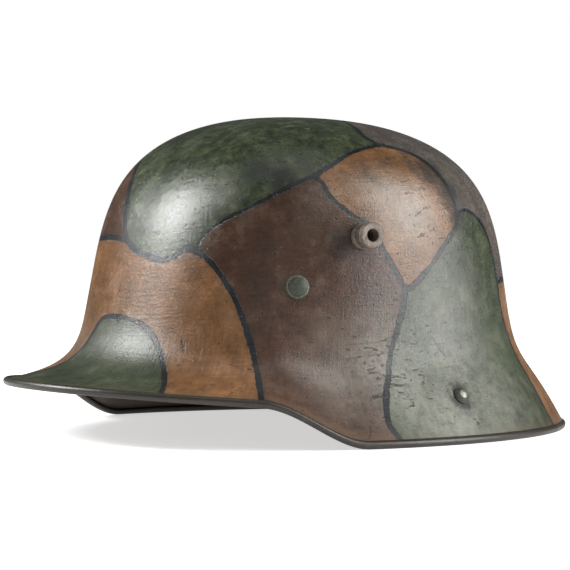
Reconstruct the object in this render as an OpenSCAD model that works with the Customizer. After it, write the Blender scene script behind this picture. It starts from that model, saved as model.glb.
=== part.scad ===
// Steel helmet with a visor, a deep flared skirt, two vent lugs and a leather liner.
// Millimetres. +Z up, the visor towards -Y, the wearer's left towards +X.
// The origin is the middle of the outline, on the surface that the rim stands on.
// Angles round the helmet start at the visor and grow towards the wearer's left.

/* [Dome] */
// Height of the crown above the rim's lowest line
crown_z = 161.5; // [154:0.5:168]
// Reach of the dome forwards from the crown axis, at the brow
dome_front = 100; // [96:0.5:104]
// Reach of the dome backwards from the crown axis, above the nape
dome_back = 122; // [117:0.5:127]
// Half width of the dome at the temples
dome_side = 93; // [90:0.5:97]
// Squareness of the dome's front half, seen from above
dome_front_n = 2.25; // [2.1:0.05:2.5]
// Squareness of the dome's back half, seen from above
dome_back_n = 2.25; // [2.1:0.05:2.5]
// Height of the dome's foot at the brow
foot_front_z = 66.5; // [62:0.5:72]
// Height of the dome's foot at the temples
foot_side_z = 74.5; // [70:0.5:80]
// Height of the dome's foot at the nape
foot_back_z = 67; // [62:0.5:72]
// Inward lean of the wall above the brow, as run over rise
lean_front = 0.24; // [0.15:0.01:0.32]
// Inward lean of the wall above the nape, as run over rise
lean_back = 0.2; // [0.12:0.01:0.28]
// Flatness of the crown
crown_flat = 3.85; // [3.2:0.05:4.4]
// Fullness of the front shoulder, smaller is fuller
shoulder_front = 0.89; // [0.8:0.01:1]
// Fullness of the back shoulder, smaller is fuller
shoulder_back = 0.84; // [0.76:0.01:1]

/* [Skirt and rim] */
// Thickness of the steel sheet
sheet = 1.2; // [1:0.05:1.5]
// Reach of the visor's rim, to the middle of its roll
rim_front = 148.5; // [142:0.5:155]
// Reach of the nape's rim, to the middle of its roll
rim_back = 159.5; // [153:0.5:166]
// Half width at the rim, to the middle of its roll
rim_side = 118.5; // [114:0.5:124]
// Roundness of the visor's outline
rim_front_n = 2.03; // [1.9:0.01:2.2]
// Roundness of the nape's outline
rim_back_n = 2.04; // [1.9:0.01:2.2]
// Height of the visor's rim over the side's
visor_rise = 25; // [20:0.5:30]
// Droop of the visor's rim towards the ears
visor_droop = 7.5; // [4:0.5:10]
// Angle where the rim starts to fall from the visor
ear_start = 51; // [46:1:56]
// Angle where the rim has reached the skirt
ear_end = 76; // [71:1:82]
// Downward slope of the sheet at the visor's rim
slope_front = 3; // [0:1:10]
// Downward slope of the sheet at the side rim
slope_side = 54; // [46:1:60]
// Downward slope of the sheet at the nape's rim
slope_back = 60; // [54:1:66]
// Radius of the rolled edge
roll_r = 2.05; // [1.9:0.05:2.4]
// Step of the rolled edge over the sheet
roll_step = 0.95; // [0.7:0.05:1.1]

/* [Vent lugs] */
// Angle of the vent lugs from the visor
lug_t = 79.6; // [72:0.1:86]
// Height of the vent lugs
lug_z = 101.5; // [95:0.5:106]
// Radius of the lug's head and base flange
lug_r = 6.6; // [6:0.1:7.5]
// Radius of the lug's neck, behind the head
lug_neck_r = 4.9; // [4.6:0.1:5.4]
// Radius of the vent bore
vent_r = 3.1; // [2.5:0.1:3.4]
// How far the lug stands out of the shell
lug_out = 10.4; // [9.6:0.1:14]
// Radius of the lug's shank where it goes through the shell
lug_shank_r = 4.3; // [4.2:0.1:4.5]

/* [Liner pins] */
// Angle of the two front liner pins from the visor
pin_t = 59.3; // [55:0.1:65]
// Height of the liner pins
pin_z = 77; // [74:0.5:84]
// Radius of the pin's domed head
pin_head_r = 5.9; // [5.3:0.1:6.5]
// Height of the pin's domed head
pin_head_h = 1.8; // [1.4:0.1:2.4]
// Radius of the pin's closed prongs
pin_shank_r = 1.8; // [1.5:0.1:2]
// Length of a prong's bent end
prong_l = 9; // [7:0.5:11]
// Length of the plate under the prongs
plate_l = 22; // [20:0.5:24]
// Width of the plate under the prongs
plate_w = 11; // [9:0.5:13]
// Thickness of the plate under the prongs
plate_h = 0.8; // [0.6:0.1:1]

/* [Liner] */
// Height of the leather band's lower edge
band_low_z = 63; // [61:0.5:66]
// Clearance between the band's upper edge and the vent lugs' flare
lug_room = 1; // [0.5:0.1:4]
// Thickness of the leather band
band_h = 3; // [2.5:0.1:3.2]
// Space between the sheet and the band
band_gap = 0.6; // [0.5:0.1:0.8]
// Height of the tips of the leather tongues
tongue_z = 138; // [130:0.5:140]
// Thickness of the leather pads
pad_h = 1.8; // [1.5:0.1:2]
// Half of the angle that one pad spans
pad_half_t = 56; // [50:1:57]
// Distance from the shell's outside to the wearer's head at the pins
head_inset = 19.5; // [19.3:0.1:21]
// Width of the slot between two tongues at its foot
slot_w = 4; // [3:0.5:6]
// Width of the slot between two tongues at the tips
slot_top_w = 20; // [14:1:24]
// Radius of the lace holes in the tongues
lace_r = 2.2; // [1.5:0.1:2.6]
// Thickness of the stuffed cushions
cushion_h = 8; // [6:0.2:8.4]
// Half of the angle that one cushion spans
cushion_half_t = 44; // [38:1:48]

/* [Chinstrap] */
// Angle of the chinstrap rivets from the visor
strap_t = 108.4; // [105:0.1:112]
// Height of the chinstrap posts
strap_z = 22.75; // [22:0.25:24]
// Radius of the rivet's domed head
rivet_r = 4.4; // [4:0.1:5]
// Height of the rivet's domed head
rivet_h = 2.9; // [2.2:0.1:3.4]
// Radius of the rivet's shank
rivet_shank_r = 2.2; // [1.8:0.1:2.4]
// Radius of the post's plate
post_plate_r = 8.5; // [7.5:0.1:9]
// Thickness of the post's plate
post_plate_h = 1.5; // [1.2:0.1:1.8]
// Radius of the post that the strap swings on
post_r = 2.5; // [2.2:0.1:2.8]
// Radius of the post's head
post_head_r = 4.4; // [3.8:0.1:4.8]
// Thickness of the post's head
post_head_h = 2; // [1.5:0.1:2.4]
// Distance of the strap's eye from the middle of the post's plate
post_l = 10.1; // [9.7:0.1:11.6]
// Thickness of the steel strap ends
hook_h = 1.5; // [1.2:0.1:1.6]
// Radius of the strap end's round eye
eye_r = 6.4; // [5.6:0.1:6.8]
// Width of the leather strap
strap_w = 15; // [13:0.5:15]
// Thickness of the leather strap
strap_h = 2; // [1.6:0.1:2.2]
// Reach of the strap's bend from the posts
strap_reach = 97; // [92:0.5:97]
// Inward slant of the strap's legs
leg_slant = 16; // [15:0.5:18]
// How far the strap hangs below level where it lies in the skirt
strap_rest = 7.5; // [6.5:0.25:7.75]
// Thickness of the buckle's metal
buckle_h = 1.4; // [1:0.1:1.6]
// Length of the buckle along the strap
buckle_l = 10; // [8:0.5:11]
// Place of the buckle along the strap's leg
buckle_at = 29.5; // [28.5:0.5:30]

/* [Fits] */
// Radial clearance of a shank in its hole
hole_gap = 0.1; // [0.05:0.01:0.2]
// Radial clearance of the strap's eye on its post
eye_gap = 0.06; // [0.03:0.01:0.1]
// Clearance between pieces that lie on each other
rest_gap = 0.3; // [0.2:0.05:0.4]

/* [Hidden] */

// Steps round the shell, and round the liner
shell_steps = 90;
band_steps = 60;
// Rows of points over the dome and down the skirt
dome_rows = 12;
skirt_rows = 7;
// Sizes of the Bezier handles that shape the skirt
flare_start = 0.55;
flare_end = 0.61;
// Step for the slopes that are measured on the surface
tiny = 0.01;
// Puts the middle of the outline on the origin
y_mid = (rim_front - rim_back) / 2;

function ramp(x) = let (c = min(max(x, 0), 1)) c * c * (3 - 2 * c);
function mix(a, b, w) = a + (b - a) * w;
// A value that is front, side and back at those three places and smooth between
function around(front, side, back, t) =
    ((front + back) / 2 + side) / 2 + (front - back) / 2 * cos(t)
    + ((front + back) / 2 - side) / 2 * cos(2 * t);
function oval(side, reach, n, t) =
    pow(pow(abs(sin(t)) / side, n) + pow(abs(cos(t)) / reach, n), -1 / n);
function dome_r(t) = cos(t) > 0 ? oval(dome_side, dome_front, dome_front_n, t)
    : oval(dome_side, dome_back, dome_back_n, t);
function rim_r(t) = cos(t) > 0 ? oval(rim_side, rim_front, rim_front_n, t)
    : oval(rim_side, rim_back, rim_back_n, t);
function foot_z(t) = around(foot_front_z, foot_side_z, foot_back_z, t);
function lean(t) = around(lean_front, 0, lean_back, t);
function slope(t) = around(slope_front, slope_side, slope_back, t);
function rim_z(t) = let (down = ramp((acos(cos(t)) - ear_start) / (ear_end - ear_start)))
    roll_r + (visor_rise - visor_droop * pow(sin(t), 2)) * (1 - down);

// Outer face of the dome at a share of its height: [radius, height]
function dome_at(t, c) = let (
        rise = crown_z - foot_z(t),
        power = mix(shoulder_front, shoulder_back, (1 - cos(t)) / 2) / 2)
    [pow(max(1 - pow(c, crown_flat), 0), power) * (dome_r(t) - lean(t) * rise * c),
     foot_z(t) + rise * c];

function bezier(a, b, c, d, v) = a * pow(1 - v, 3) + 3 * b * v * pow(1 - v, 2)
    + 3 * c * v * v * (1 - v) + d * pow(v, 3);
// Outer face of the skirt, from the dome's foot to the rolled edge: [radius, height]
function skirt_at(t, v) = let (
        p = slope(t),
        start = [dome_r(t), foot_z(t)],
        stop = [rim_r(t), rim_z(t)] + (roll_r - roll_step) * [sin(p), cos(p)],
        drop = start.y - stop.y,
        reach = norm(stop - start),
        near = start + flare_start * drop * [lean(t), -1],
        far = stop - flare_end * reach * [cos(p), -sin(p)])
    bezier(start, near, far, stop, v);

// The whole section: level 0 is the crown, 1 the dome's foot and 2 the rim
function section(t, q) = q <= 1 ? dome_at(t, max(sin(90 * (1 - q)), 0)) : skirt_at(t, q - 1);
function section_out(t, q) = let (
        d = section(t, min(q + tiny, 2)) - section(t, max(q - tiny, 0)))
    [-d.y, d.x] / norm(d);
function turn_out(t, p) = [p.x * sin(t), y_mid - p.x * cos(t), p.y];
// A point at a depth under the outer face
function skin(t, q, depth) = turn_out(t, section(t, q) - depth * section_out(t, q));
function skin_out(t, q) = let (
        n = cross(skin(t, q + tiny, 0) - skin(t, q - tiny, 0), skin(t + 0.1, q, 0) - skin(t - 0.1, q, 0)))
    n / norm(n);

// The level of a height, by halving the skirt
function halve(t, z, low, high, n) = let (mid = (low + high) / 2)
    n == 0 ? mid
    : section(t, mid).y > z ? halve(t, z, mid, high, n - 1) : halve(t, z, low, mid, n - 1);
function level(t, z) = z >= foot_z(t)
    ? 1 - asin((z - foot_z(t)) / (crown_z - foot_z(t))) / 90
    : halve(t, z, 1, 2, 14);
function wall_r(t, z) = section(t, level(t, z)).x;

// Turns rings of points, each closed, into triangles
function ring_faces(rings, count) = [
    for (j = [0:rings - 2], i = [0:count - 1]) let (
        a = j * count + i,
        b = j * count + (i + 1) % count,
        c = a + count,
        d = b + count)
    each [[a, b, c], [b, d, c]]];

// Places a piece on the outer face, its Z axis straight out of the sheet
module on_shell(t, z) {
    q = level(t, z);
    n = skin_out(t, q);
    translate(skin(t, q, 0))
        rotate([0, acos(n.z), atan2(n.y, n.x)])
            children();
}

/* Shell */

roll_in = roll_r - sheet;
roll_top = 180 - asin((roll_r - roll_step) / roll_r);
roll_mouth = 180 + asin((sheet + roll_step - roll_r) / roll_in);
roll_lip = 155;
roll_out_rows = 9;
roll_in_rows = 5;
// Where the skirt's rows end, just before the rolled edge
function skirt_stop(t) = 1 - roll_r / (3 * flare_end * norm([rim_r(t) - dome_r(t), foot_z(t) - rim_z(t)]));
function roll_at(t, r, a) = let (p = slope(t))
    [rim_r(t), rim_z(t)] + r * cos(a) * [cos(p), -sin(p)] + r * sin(a) * [sin(p), cos(p)];

function shell_section(t) = [
    for (i = [1:dome_rows]) section(t, i / dome_rows),
    for (i = [1:skirt_rows]) section(t, 1 + skirt_stop(t) * i / skirt_rows),
    for (i = [0:roll_out_rows - 1])
        roll_at(t, roll_r, mix(roll_top, -roll_lip, i / (roll_out_rows - 1))),
    for (i = [0:roll_in_rows - 1])
        roll_at(t, roll_in, mix(-roll_lip, roll_mouth, i / (roll_in_rows - 1))),
    for (i = [skirt_rows - 1:-1:1]) let (q = 1 + skirt_stop(t) * i / skirt_rows)
        section(t, q) - sheet * section_out(t, q),
    for (i = [dome_rows:-1:1]) let (q = i / dome_rows)
        section(t, q) - sheet * section_out(t, q)];

module pressed_sheet() {
    rings = len(shell_section(0));
    sections = [for (i = [0:shell_steps - 1]) shell_section(360 * i / shell_steps)];
    points = [
        for (j = [0:rings - 1], i = [0:shell_steps - 1])
            turn_out(360 * i / shell_steps, sections[i][j]),
        [0, y_mid, crown_z],
        [0, y_mid, crown_z - sheet]];
    last = (rings - 1) * shell_steps;
    top = rings * shell_steps;
    caps = [for (i = [0:shell_steps - 1]) let (k = (i + 1) % shell_steps)
        each [[top, k, i], [top + 1, last + i, last + k]]];
    polyhedron(points, concat(ring_faces(rings, shell_steps), caps), convexity = 6);
}

module drill(t, z, r) {
    on_shell(t, z)
        cylinder(r = r, h = 12 * sheet, center = true, $fn = 48);
}

module shell() {
    color([0.35, 0.38, 0.28])
    difference() {
        pressed_sheet();
        for (side = [-1, 1]) {
            drill(side * lug_t, lug_z, lug_shank_r + hole_gap);
            drill(side * pin_t, pin_z, pin_shank_r + hole_gap);
            drill(side * strap_t, strap_z, rivet_shank_r + hole_gap);
        }
        drill(180, pin_z, pin_shank_r + hole_gap);
    }
}

/* Vent lugs */

// The shank's flare inside stands this far off the outer face
lug_grip = sheet + 0.5;
lug_seat = 0.15;
lug_step_r = (lug_r + lug_neck_r) / 2;
head_l = 2.6;
flare_l = 1.2;

module vent_lug(side) {
    head = lug_out - head_l;
    color([0.45, 0.42, 0.37])
    on_shell(side * lug_t, lug_z)
        rotate_extrude($fn = 64)
            polygon([[vent_r, lug_out], [lug_r - 0.6, lug_out], [lug_r, lug_out - 0.6],
                [lug_r, head + 0.3], [lug_r - 0.3, head], [lug_neck_r, head - 0.6],
                [lug_neck_r, head - 1.9], [lug_step_r, head - 2.1],
                [lug_step_r, 2.9], [lug_r - 0.6, 2.6],
                [lug_r, 2], [lug_r, lug_seat],
                [lug_shank_r, lug_seat], [lug_shank_r, -lug_grip],
                [lug_shank_r + flare_l, -lug_grip - 0.4],
                [lug_shank_r + flare_l, -lug_grip - 1],
                [vent_r, -lug_grip - 1]]);
}

/* Liner pins and their plates */

pin_seat = 0.15;
prong_h = 0.9;
prong_w = 3.2;
// Depth of the plate's near face under the outer face of the shell
plate_depth = sheet + band_gap + band_h + 0.9;

module at_pins() {
    for (t = [-pin_t, pin_t, 180])
        on_shell(t, pin_z)
            children();
}

module liner_pin(t) {
    ball_r = (pin_head_r * pin_head_r + pin_head_h * pin_head_h) / (2 * pin_head_h);
    reach = plate_depth + plate_h + prong_h;
    color([0.32, 0.37, 0.27])
    on_shell(t, pin_z) {
        intersection() {
            translate([0, 0, pin_seat + pin_head_h - ball_r])
                sphere(r = ball_r, $fn = 96);
            translate([0, 0, pin_seat])
                cylinder(r = pin_head_r, h = pin_head_h, $fn = 64);
        }
        translate([0, 0, -reach])
            cylinder(r = pin_shank_r, h = reach + pin_seat + 0.2, $fn = 32);
        for (side = [-1, 1])
            translate([-prong_w / 2, side > 0 ? 0 : -prong_l, -reach])
                cube([prong_w, prong_l, prong_h]);
    }
}

module pin_plates() {
    color([0.4, 0.4, 0.38])
    at_pins()
        difference() {
            translate([-plate_w / 2, -plate_l / 2, -plate_depth - plate_h])
                cube([plate_w, plate_l, plate_h]);
            translate([0, 0, -plate_depth - 2 * plate_h])
                cylinder(r = pin_shank_r + hole_gap, h = 3 * plate_h, $fn = 32);
        }
}

/* Leather band */

band_out = sheet + band_gap;
band_in = band_out + band_h;
band_high_z = lug_z - lug_shank_r - flare_l - lug_room;
band_rows = 4;

function band_point(t, k, inset) = let (z = mix(band_low_z, band_high_z, k / band_rows))
    turn_out(t, [wall_r(t, z) - inset, z]);

module liner_band() {
    points = [
        for (k = [0:band_rows], i = [0:band_steps - 1])
            band_point(360 * i / band_steps, k, band_in),
        for (k = [band_rows:-1:0], i = [0:band_steps - 1])
            band_point(360 * i / band_steps, k, band_out)];
    rings = 2 * (band_rows + 1);
    last = (rings - 1) * band_steps;
    foot = [for (i = [0:band_steps - 1]) let (k = (i + 1) % band_steps)
        each [[last + i, last + k, i], [last + k, k, i]]];
    color([0.42, 0.27, 0.16])
    difference() {
        polyhedron(points, concat(ring_faces(rings, band_steps), foot), convexity = 4);
        at_pins()
            cylinder(r = pin_shank_r + hole_gap, h = 4 * band_in, center = true, $fn = 32);
    }
}

/* Leather pads, each with two tongues */

pad_low_z = band_low_z + 1;
pad_columns = 20;
pad_rows = 14;
head_low_z = 80;
// Radius that the pads leave free at the tongues' tips
crown_free_r = 36;

// Inner face of a pad: it starts on the band and turns in to the wearer's head
function head_r(t, z) = let (
        full = wall_r(t, head_low_z) - head_inset,
        share = (tongue_z - head_low_z) / sqrt(1 - pow(crown_free_r / full, 2)))
    full * sqrt(1 - pow(max(z - head_low_z, 0) / share, 2));
function pad_face(t, b) = let (z = mix(pad_low_z, tongue_z, b))
    [mix(wall_r(t, z) - band_in - rest_gap - pad_h, head_r(t, z), ramp((b - 0.03) / 0.24)), z];
function pad_out(t, b) = let (d = pad_face(t, b + tiny) - pad_face(t, b - tiny))
    [d.y, -d.x] / norm(d);
function pad_at(t, b, depth) = let (p = pad_face(t, b) + depth * pad_out(t, b)) turn_out(t, p);

// A closed sheet between two faces of points, each columns by rows
function slab_faces(columns, rows) = let (
        w = columns + 1,
        size = w * (rows + 1),
        grid = function(i, j) j * w + i)
    concat(
        [for (j = [0:rows - 1], i = [0:columns - 1])
            each [[grid(i, j), grid(i + 1, j), grid(i, j + 1)],
                [grid(i + 1, j), grid(i + 1, j + 1), grid(i, j + 1)],
                [size + grid(i, j), size + grid(i, j + 1), size + grid(i + 1, j)],
                [size + grid(i + 1, j), size + grid(i, j + 1), size + grid(i + 1, j + 1)]]],
        [for (i = [0:columns - 1])
            each [[grid(i, 0), size + grid(i, 0), grid(i + 1, 0)],
                [grid(i + 1, 0), size + grid(i, 0), size + grid(i + 1, 0)],
                [grid(i, rows), grid(i + 1, rows), size + grid(i, rows)],
                [grid(i + 1, rows), size + grid(i + 1, rows), size + grid(i, rows)]]],
        [for (j = [0:rows - 1])
            each [[grid(0, j), grid(0, j + 1), size + grid(0, j)],
                [grid(0, j + 1), size + grid(0, j + 1), size + grid(0, j)],
                [grid(columns, j), size + grid(columns, j), grid(columns, j + 1)],
                [grid(columns, j + 1), size + grid(columns, j), size + grid(columns, j + 1)]]]);

// Each tongue's end is round: its edge drops towards the tongue's two sides
function tip_drop(a) = 0.14 * pow(abs(2 * abs(a) - 1), 2.5);
function pad_turn(a, b) = a * pad_half_t * (1 - 0.1 * b);
function pad_grid(t, depth) = [
    for (j = [0:pad_rows], i = [0:pad_columns]) let (
        a = 2 * i / pad_columns - 1,
        b = j / pad_rows * (1 - tip_drop(a)))
    pad_at(t + pad_turn(a, b), b, depth)];

slot_low = mix(pad_low_z, tongue_z, 0.38);
lace_b = 0.93;

// Local X points out at an angle, Y along the wall and Z up
module facing(t) {
    translate([0, y_mid, 0])
        rotate(t - 90)
            children();
}

module tongue_slot(t) {
    facing(t)
        rotate([90, 0, 90])
            linear_extrude(2 * dome_side)
                union() {
                    translate([0, slot_low])
                        circle(r = slot_w / 2, $fn = 32);
                    polygon([[-slot_w / 2, slot_low], [slot_w / 2, slot_low],
                        [slot_top_w / 2, tongue_z + 8], [-slot_top_w / 2, tongue_z + 8]]);
                }
}

module pad(t) {
    color([0.5, 0.33, 0.2])
    difference() {
        polyhedron(concat(pad_grid(t, 0), pad_grid(t, pad_h)),
            slab_faces(pad_columns, pad_rows), convexity = 6);
        tongue_slot(t);
        for (a = [-0.5, 0.5]) {
            u = t + pad_turn(a, lace_b);
            p = pad_face(u, lace_b);
            n = pad_out(u, lace_b);
            facing(u)
                translate([p.x, 0, p.y])
                    rotate([0, acos(n.y), 0])
                        cylinder(r = lace_r, h = 6 * pad_h, center = true, $fn = 24);
        }
    }
}

/* Stuffed cushions behind the pads */

cushion_low_b = 0.28;
cushion_high_b = 0.74;
cushion_columns = 16;
cushion_rows = 9;
// Room for the flat facets of two curved faces that lie on each other
facet_room = 0.25;

// Thickness from the crowned middle to the drawn-in sides
function cushion_at(a, c) = cushion_h * (0.3 + 0.7 * sqrt((1 - pow(a, 6)) * (1 - pow(c, 4))));
function cushion_grid(t, face) = [
    for (j = [0:cushion_rows], i = [0:cushion_columns]) let (
        a = 2 * i / cushion_columns - 1,
        c = 2 * j / cushion_rows - 1,
        b = mix(cushion_low_b, cushion_high_b, (c + 1) / 2))
    pad_at(t + a * cushion_half_t, b, pad_h + rest_gap + facet_room + face * cushion_at(a, c))];

module cushion(t) {
    color([0.66, 0.6, 0.46])
    polyhedron(concat(cushion_grid(t, 0), cushion_grid(t, 1)),
        slab_faces(cushion_columns, cushion_rows), convexity = 4);
}

/* Chinstrap rivets and posts */

rivet_seat = 0.3;
post_seat = 0.5;
boss_r = 4.6;
boss_h = 2.6;
rivet_bite = 1.4;
post_depth = sheet + post_seat + post_plate_h;
post_mid = skin(strap_t, level(strap_t, strap_z), post_depth);
// Half of the distance between the two strap eyes
eye_x = post_mid.x - post_l;
post_tip_x = eye_x - hook_h / 2 - rest_gap - post_head_h;

module sided(side) {
    if (side > 0)
        children();
    else
        mirror([1, 0, 0])
            children();
}

module chinstrap_rivet(side) {
    color([0.3, 0.3, 0.28])
    on_shell(side * strap_t, strap_z)
        rotate_extrude($fn = 48)
            polygon([[0, rivet_h], [0.7, rivet_h], [0.45 * rivet_r, 0.85 * rivet_h],
                [0.8 * rivet_r, 0.5 * rivet_h], [0.95 * rivet_r, 0.27 * rivet_h],
                [rivet_r, rivet_seat + 0.2], [rivet_r, rivet_seat],
                [rivet_shank_r, rivet_seat], [rivet_shank_r, -post_depth - rivet_bite],
                [0, -post_depth - rivet_bite]]);
}

module chinstrap_post(side) {
    color([0.4, 0.4, 0.38])
    sided(side)
        difference() {
            union() {
                on_shell(strap_t, strap_z)
                    translate([0, 0, -post_depth])
                        cylinder(r = post_plate_r, h = post_plate_h, $fn = 64);
                on_shell(strap_t, strap_z)
                    translate([0, 0, -post_depth - boss_h])
                        cylinder(r = boss_r, h = boss_h + post_plate_h / 2, $fn = 48);
                translate([post_tip_x, post_mid.y, post_mid.z])
                    rotate([0, 90, 0])
                        cylinder(r = post_r, h = post_mid.x - post_tip_x, $fn = 48);
                translate([post_tip_x, post_mid.y, post_mid.z])
                    rotate([0, 90, 0])
                        cylinder(r = post_head_r, h = post_head_h, $fn = 48);
            }
            on_shell(strap_t, strap_z)
                translate([0, 0, -post_depth - rivet_bite - 0.1])
                    cylinder(r = rivet_shank_r + hole_gap, h = post_depth + rivet_bite, $fn = 32);
        }
}

/* Chinstrap, laid back inside the skirt */

// In the strap's own frame X is across the helmet, Y away from the posts, Z the width
bend_y = eye_r + 0.1;
arm_l = 17;
arm_w = 11;
rivet_places = [5.5, 12.5];
leg_l = 42;
leg_handle = 24;
bend_handle = 44;
bend_steps = 10;
strap_start = 2;
strap_rivet_r = 1.3;
strap_rivet_head_r = 2.3;
strap_rivet_head_h = 0.9;
// Middle of the leather, measured outwards from the middle of the steel end
leather_w = -(hook_h + strap_h) / 2 - 0.03;
buckle_gap = 0.35;
buckle_bar = 2.2;

module strap_frame() {
    translate([0, post_mid.y, post_mid.z])
        rotate([-strap_rest, 0, 0])
            children();
}

// A point on the slanted leg, s along it and w outwards
function leg(s, w) = [eye_x - s * sin(leg_slant) + w * cos(leg_slant),
    bend_y + s * cos(leg_slant) + w * sin(leg_slant)];

module on_leg(s, w) {
    p = leg(s, w);
    translate([p.x, p.y, 0])
        rotate(leg_slant)
            children();
}

module strap_end(side) {
    corner = hook_h / 2 * tan(leg_slant / 2);
    color([0.42, 0.42, 0.4])
    sided(side)
        strap_frame()
            difference() {
                union() {
                    translate([eye_x, 0, 0])
                        rotate([0, 90, 0])
                            cylinder(r = eye_r, h = hook_h, center = true, $fn = 64);
                    linear_extrude(arm_w, center = true)
                        polygon([[eye_x - hook_h / 2, 0], [eye_x + hook_h / 2, 0],
                            [eye_x + hook_h / 2, bend_y + corner], leg(arm_l, hook_h / 2),
                            leg(arm_l, -hook_h / 2), [eye_x - hook_h / 2, bend_y - corner]]);
                }
                translate([eye_x, 0, 0])
                    rotate([0, 90, 0])
                        cylinder(r = post_r + eye_gap, h = 4 * hook_h, center = true, $fn = 64);
                for (s = rivet_places)
                    on_leg(s, 0)
                        rotate([0, 90, 0])
                            cylinder(r = strap_rivet_r + hole_gap, h = 4 * hook_h, center = true, $fn = 24);
            }
}

// One edge of the leather's outline, from the leg to the middle of the bend
function strap_edge(w) = let (
        a = leg(leg_l, leather_w),
        b = a + leg_handle * [-sin(leg_slant), cos(leg_slant)],
        c = [bend_handle, strap_reach],
        d = [0, strap_reach])
    concat([leg(strap_start, leather_w + w), leg(leg_l, leather_w + w)],
        [for (k = [1:bend_steps]) let (
            v = k / bend_steps,
            way = pow(1 - v, 2) * (b - a) + 2 * v * (1 - v) * (c - b) + v * v * (d - c))
        bezier(a, b, c, d, v) + w * [way.y, -way.x] / norm(way)]);
function both_sides(edge) = concat(edge, [for (k = [len(edge) - 2:-1:0]) [-edge[k].x, edge[k].y]]);
function reversed(list) = [for (k = [len(list) - 1:-1:0]) list[k]];

module chinstrap() {
    color([0.33, 0.2, 0.12])
    strap_frame()
        difference() {
            linear_extrude(strap_w, center = true)
                polygon(concat(both_sides(strap_edge(strap_h / 2)),
                    reversed(both_sides(strap_edge(-strap_h / 2)))));
            for (side = [-1, 1], s = rivet_places)
                sided(side)
                    on_leg(s, leather_w)
                        rotate([0, 90, 0])
                            cylinder(r = strap_rivet_r + hole_gap, h = 2 * strap_h, center = true, $fn = 24);
        }
}

module strap_rivets(side) {
    inner = leather_w - strap_h / 2;
    outer = hook_h / 2;
    color([0.5, 0.48, 0.42])
    sided(side)
        strap_frame()
            for (s = rivet_places)
                on_leg(s, inner - strap_rivet_head_h)
                    rotate([0, 90, 0])
                        rotate_extrude($fn = 32)
                            polygon([[0, 0], [strap_rivet_head_r - 0.5, 0],
                                [strap_rivet_head_r, strap_rivet_head_h],
                                [strap_rivet_r, strap_rivet_head_h],
                                [strap_rivet_r, strap_rivet_head_h + outer - inner],
                                [strap_rivet_head_r, strap_rivet_head_h + outer - inner],
                                [strap_rivet_head_r - 0.5, 2 * strap_rivet_head_h + outer - inner],
                                [0, 2 * strap_rivet_head_h + outer - inner]]);
}

module bar(x, y, size) {
    translate([x, y, 0])
        cube(size, center = true);
}

module strap_buckle(side) {
    half = strap_h / 2 + buckle_gap;
    high = strap_w / 2 + buckle_gap;
    end_y = (buckle_l - buckle_bar) / 2;
    color([0.45, 0.44, 0.4])
    sided(side)
        strap_frame()
            on_leg(buckle_at, leather_w) {
                for (up = [-1, 1])
                    translate([0, 0, up * (high + buckle_h / 2)])
                        cube([2 * half + 2 * buckle_h, buckle_l, buckle_h], center = true);
                for (y = [-end_y, end_y])
                    bar(half + buckle_h / 2, y, [buckle_h, buckle_bar, 2 * high + buckle_h]);
                bar(-half - buckle_h / 2, 0, [buckle_h, 1.2 * buckle_bar, 2 * high + buckle_h]);
            }
}

shell();
vent_lug(1);  // vent_lug_left
vent_lug(-1);  // vent_lug_right
liner_pin(pin_t);  // liner_pin_front_left
liner_pin(-pin_t);  // liner_pin_front_right
liner_pin(180);  // liner_pin_rear
pin_plates();
liner_band();
pad(pin_t);  // pad_front_left
pad(-pin_t);  // pad_front_right
pad(180);  // pad_rear
cushion(pin_t);  // cushion_front_left
cushion(-pin_t);  // cushion_front_right
cushion(180);  // cushion_rear
chinstrap_rivet(1);  // chinstrap_rivet_left
chinstrap_rivet(-1);  // chinstrap_rivet_right
chinstrap_post(1);  // chinstrap_post_left
chinstrap_post(-1);  // chinstrap_post_right
strap_end(1);  // strap_end_left
strap_end(-1);  // strap_end_right
strap_rivets(1);  // strap_rivets_left
strap_rivets(-1);  // strap_rivets_right
chinstrap();
strap_buckle(1);  // strap_buckle_left
strap_buckle(-1);  // strap_buckle_right
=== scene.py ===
import math

import bmesh
import bpy
import numpy as np
from mathutils import Matrix, Vector


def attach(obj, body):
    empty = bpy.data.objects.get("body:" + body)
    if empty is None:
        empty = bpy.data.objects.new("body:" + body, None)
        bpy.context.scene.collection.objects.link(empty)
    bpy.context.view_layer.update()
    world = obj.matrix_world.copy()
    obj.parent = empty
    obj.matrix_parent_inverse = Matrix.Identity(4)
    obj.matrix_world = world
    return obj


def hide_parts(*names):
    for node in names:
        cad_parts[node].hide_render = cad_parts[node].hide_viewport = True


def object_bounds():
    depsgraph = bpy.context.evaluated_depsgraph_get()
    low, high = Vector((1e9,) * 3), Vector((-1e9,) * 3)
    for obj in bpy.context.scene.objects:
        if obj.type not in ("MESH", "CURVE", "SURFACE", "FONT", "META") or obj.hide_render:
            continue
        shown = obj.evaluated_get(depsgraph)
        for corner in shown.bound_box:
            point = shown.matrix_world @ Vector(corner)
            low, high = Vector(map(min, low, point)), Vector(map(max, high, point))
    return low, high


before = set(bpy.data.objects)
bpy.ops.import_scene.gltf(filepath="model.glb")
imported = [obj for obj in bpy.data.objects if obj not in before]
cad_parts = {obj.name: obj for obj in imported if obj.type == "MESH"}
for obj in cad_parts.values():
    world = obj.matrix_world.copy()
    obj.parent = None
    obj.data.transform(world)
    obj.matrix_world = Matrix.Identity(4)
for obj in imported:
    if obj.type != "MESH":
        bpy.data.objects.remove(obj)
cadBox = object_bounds()
print("frame loaded")

mm = 0.001
sides = dict(left=1, right=-1)


def srgb(red, green, blue):
    # A colour as a paint shop would note it, 0 to 255, in Blender's linear values
    return tuple(((c / 255 + 0.055) / 1.055) ** 2.4 if c > 10 else c / 255 / 12.92 for c in (red, green, blue)) + (1,)


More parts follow.
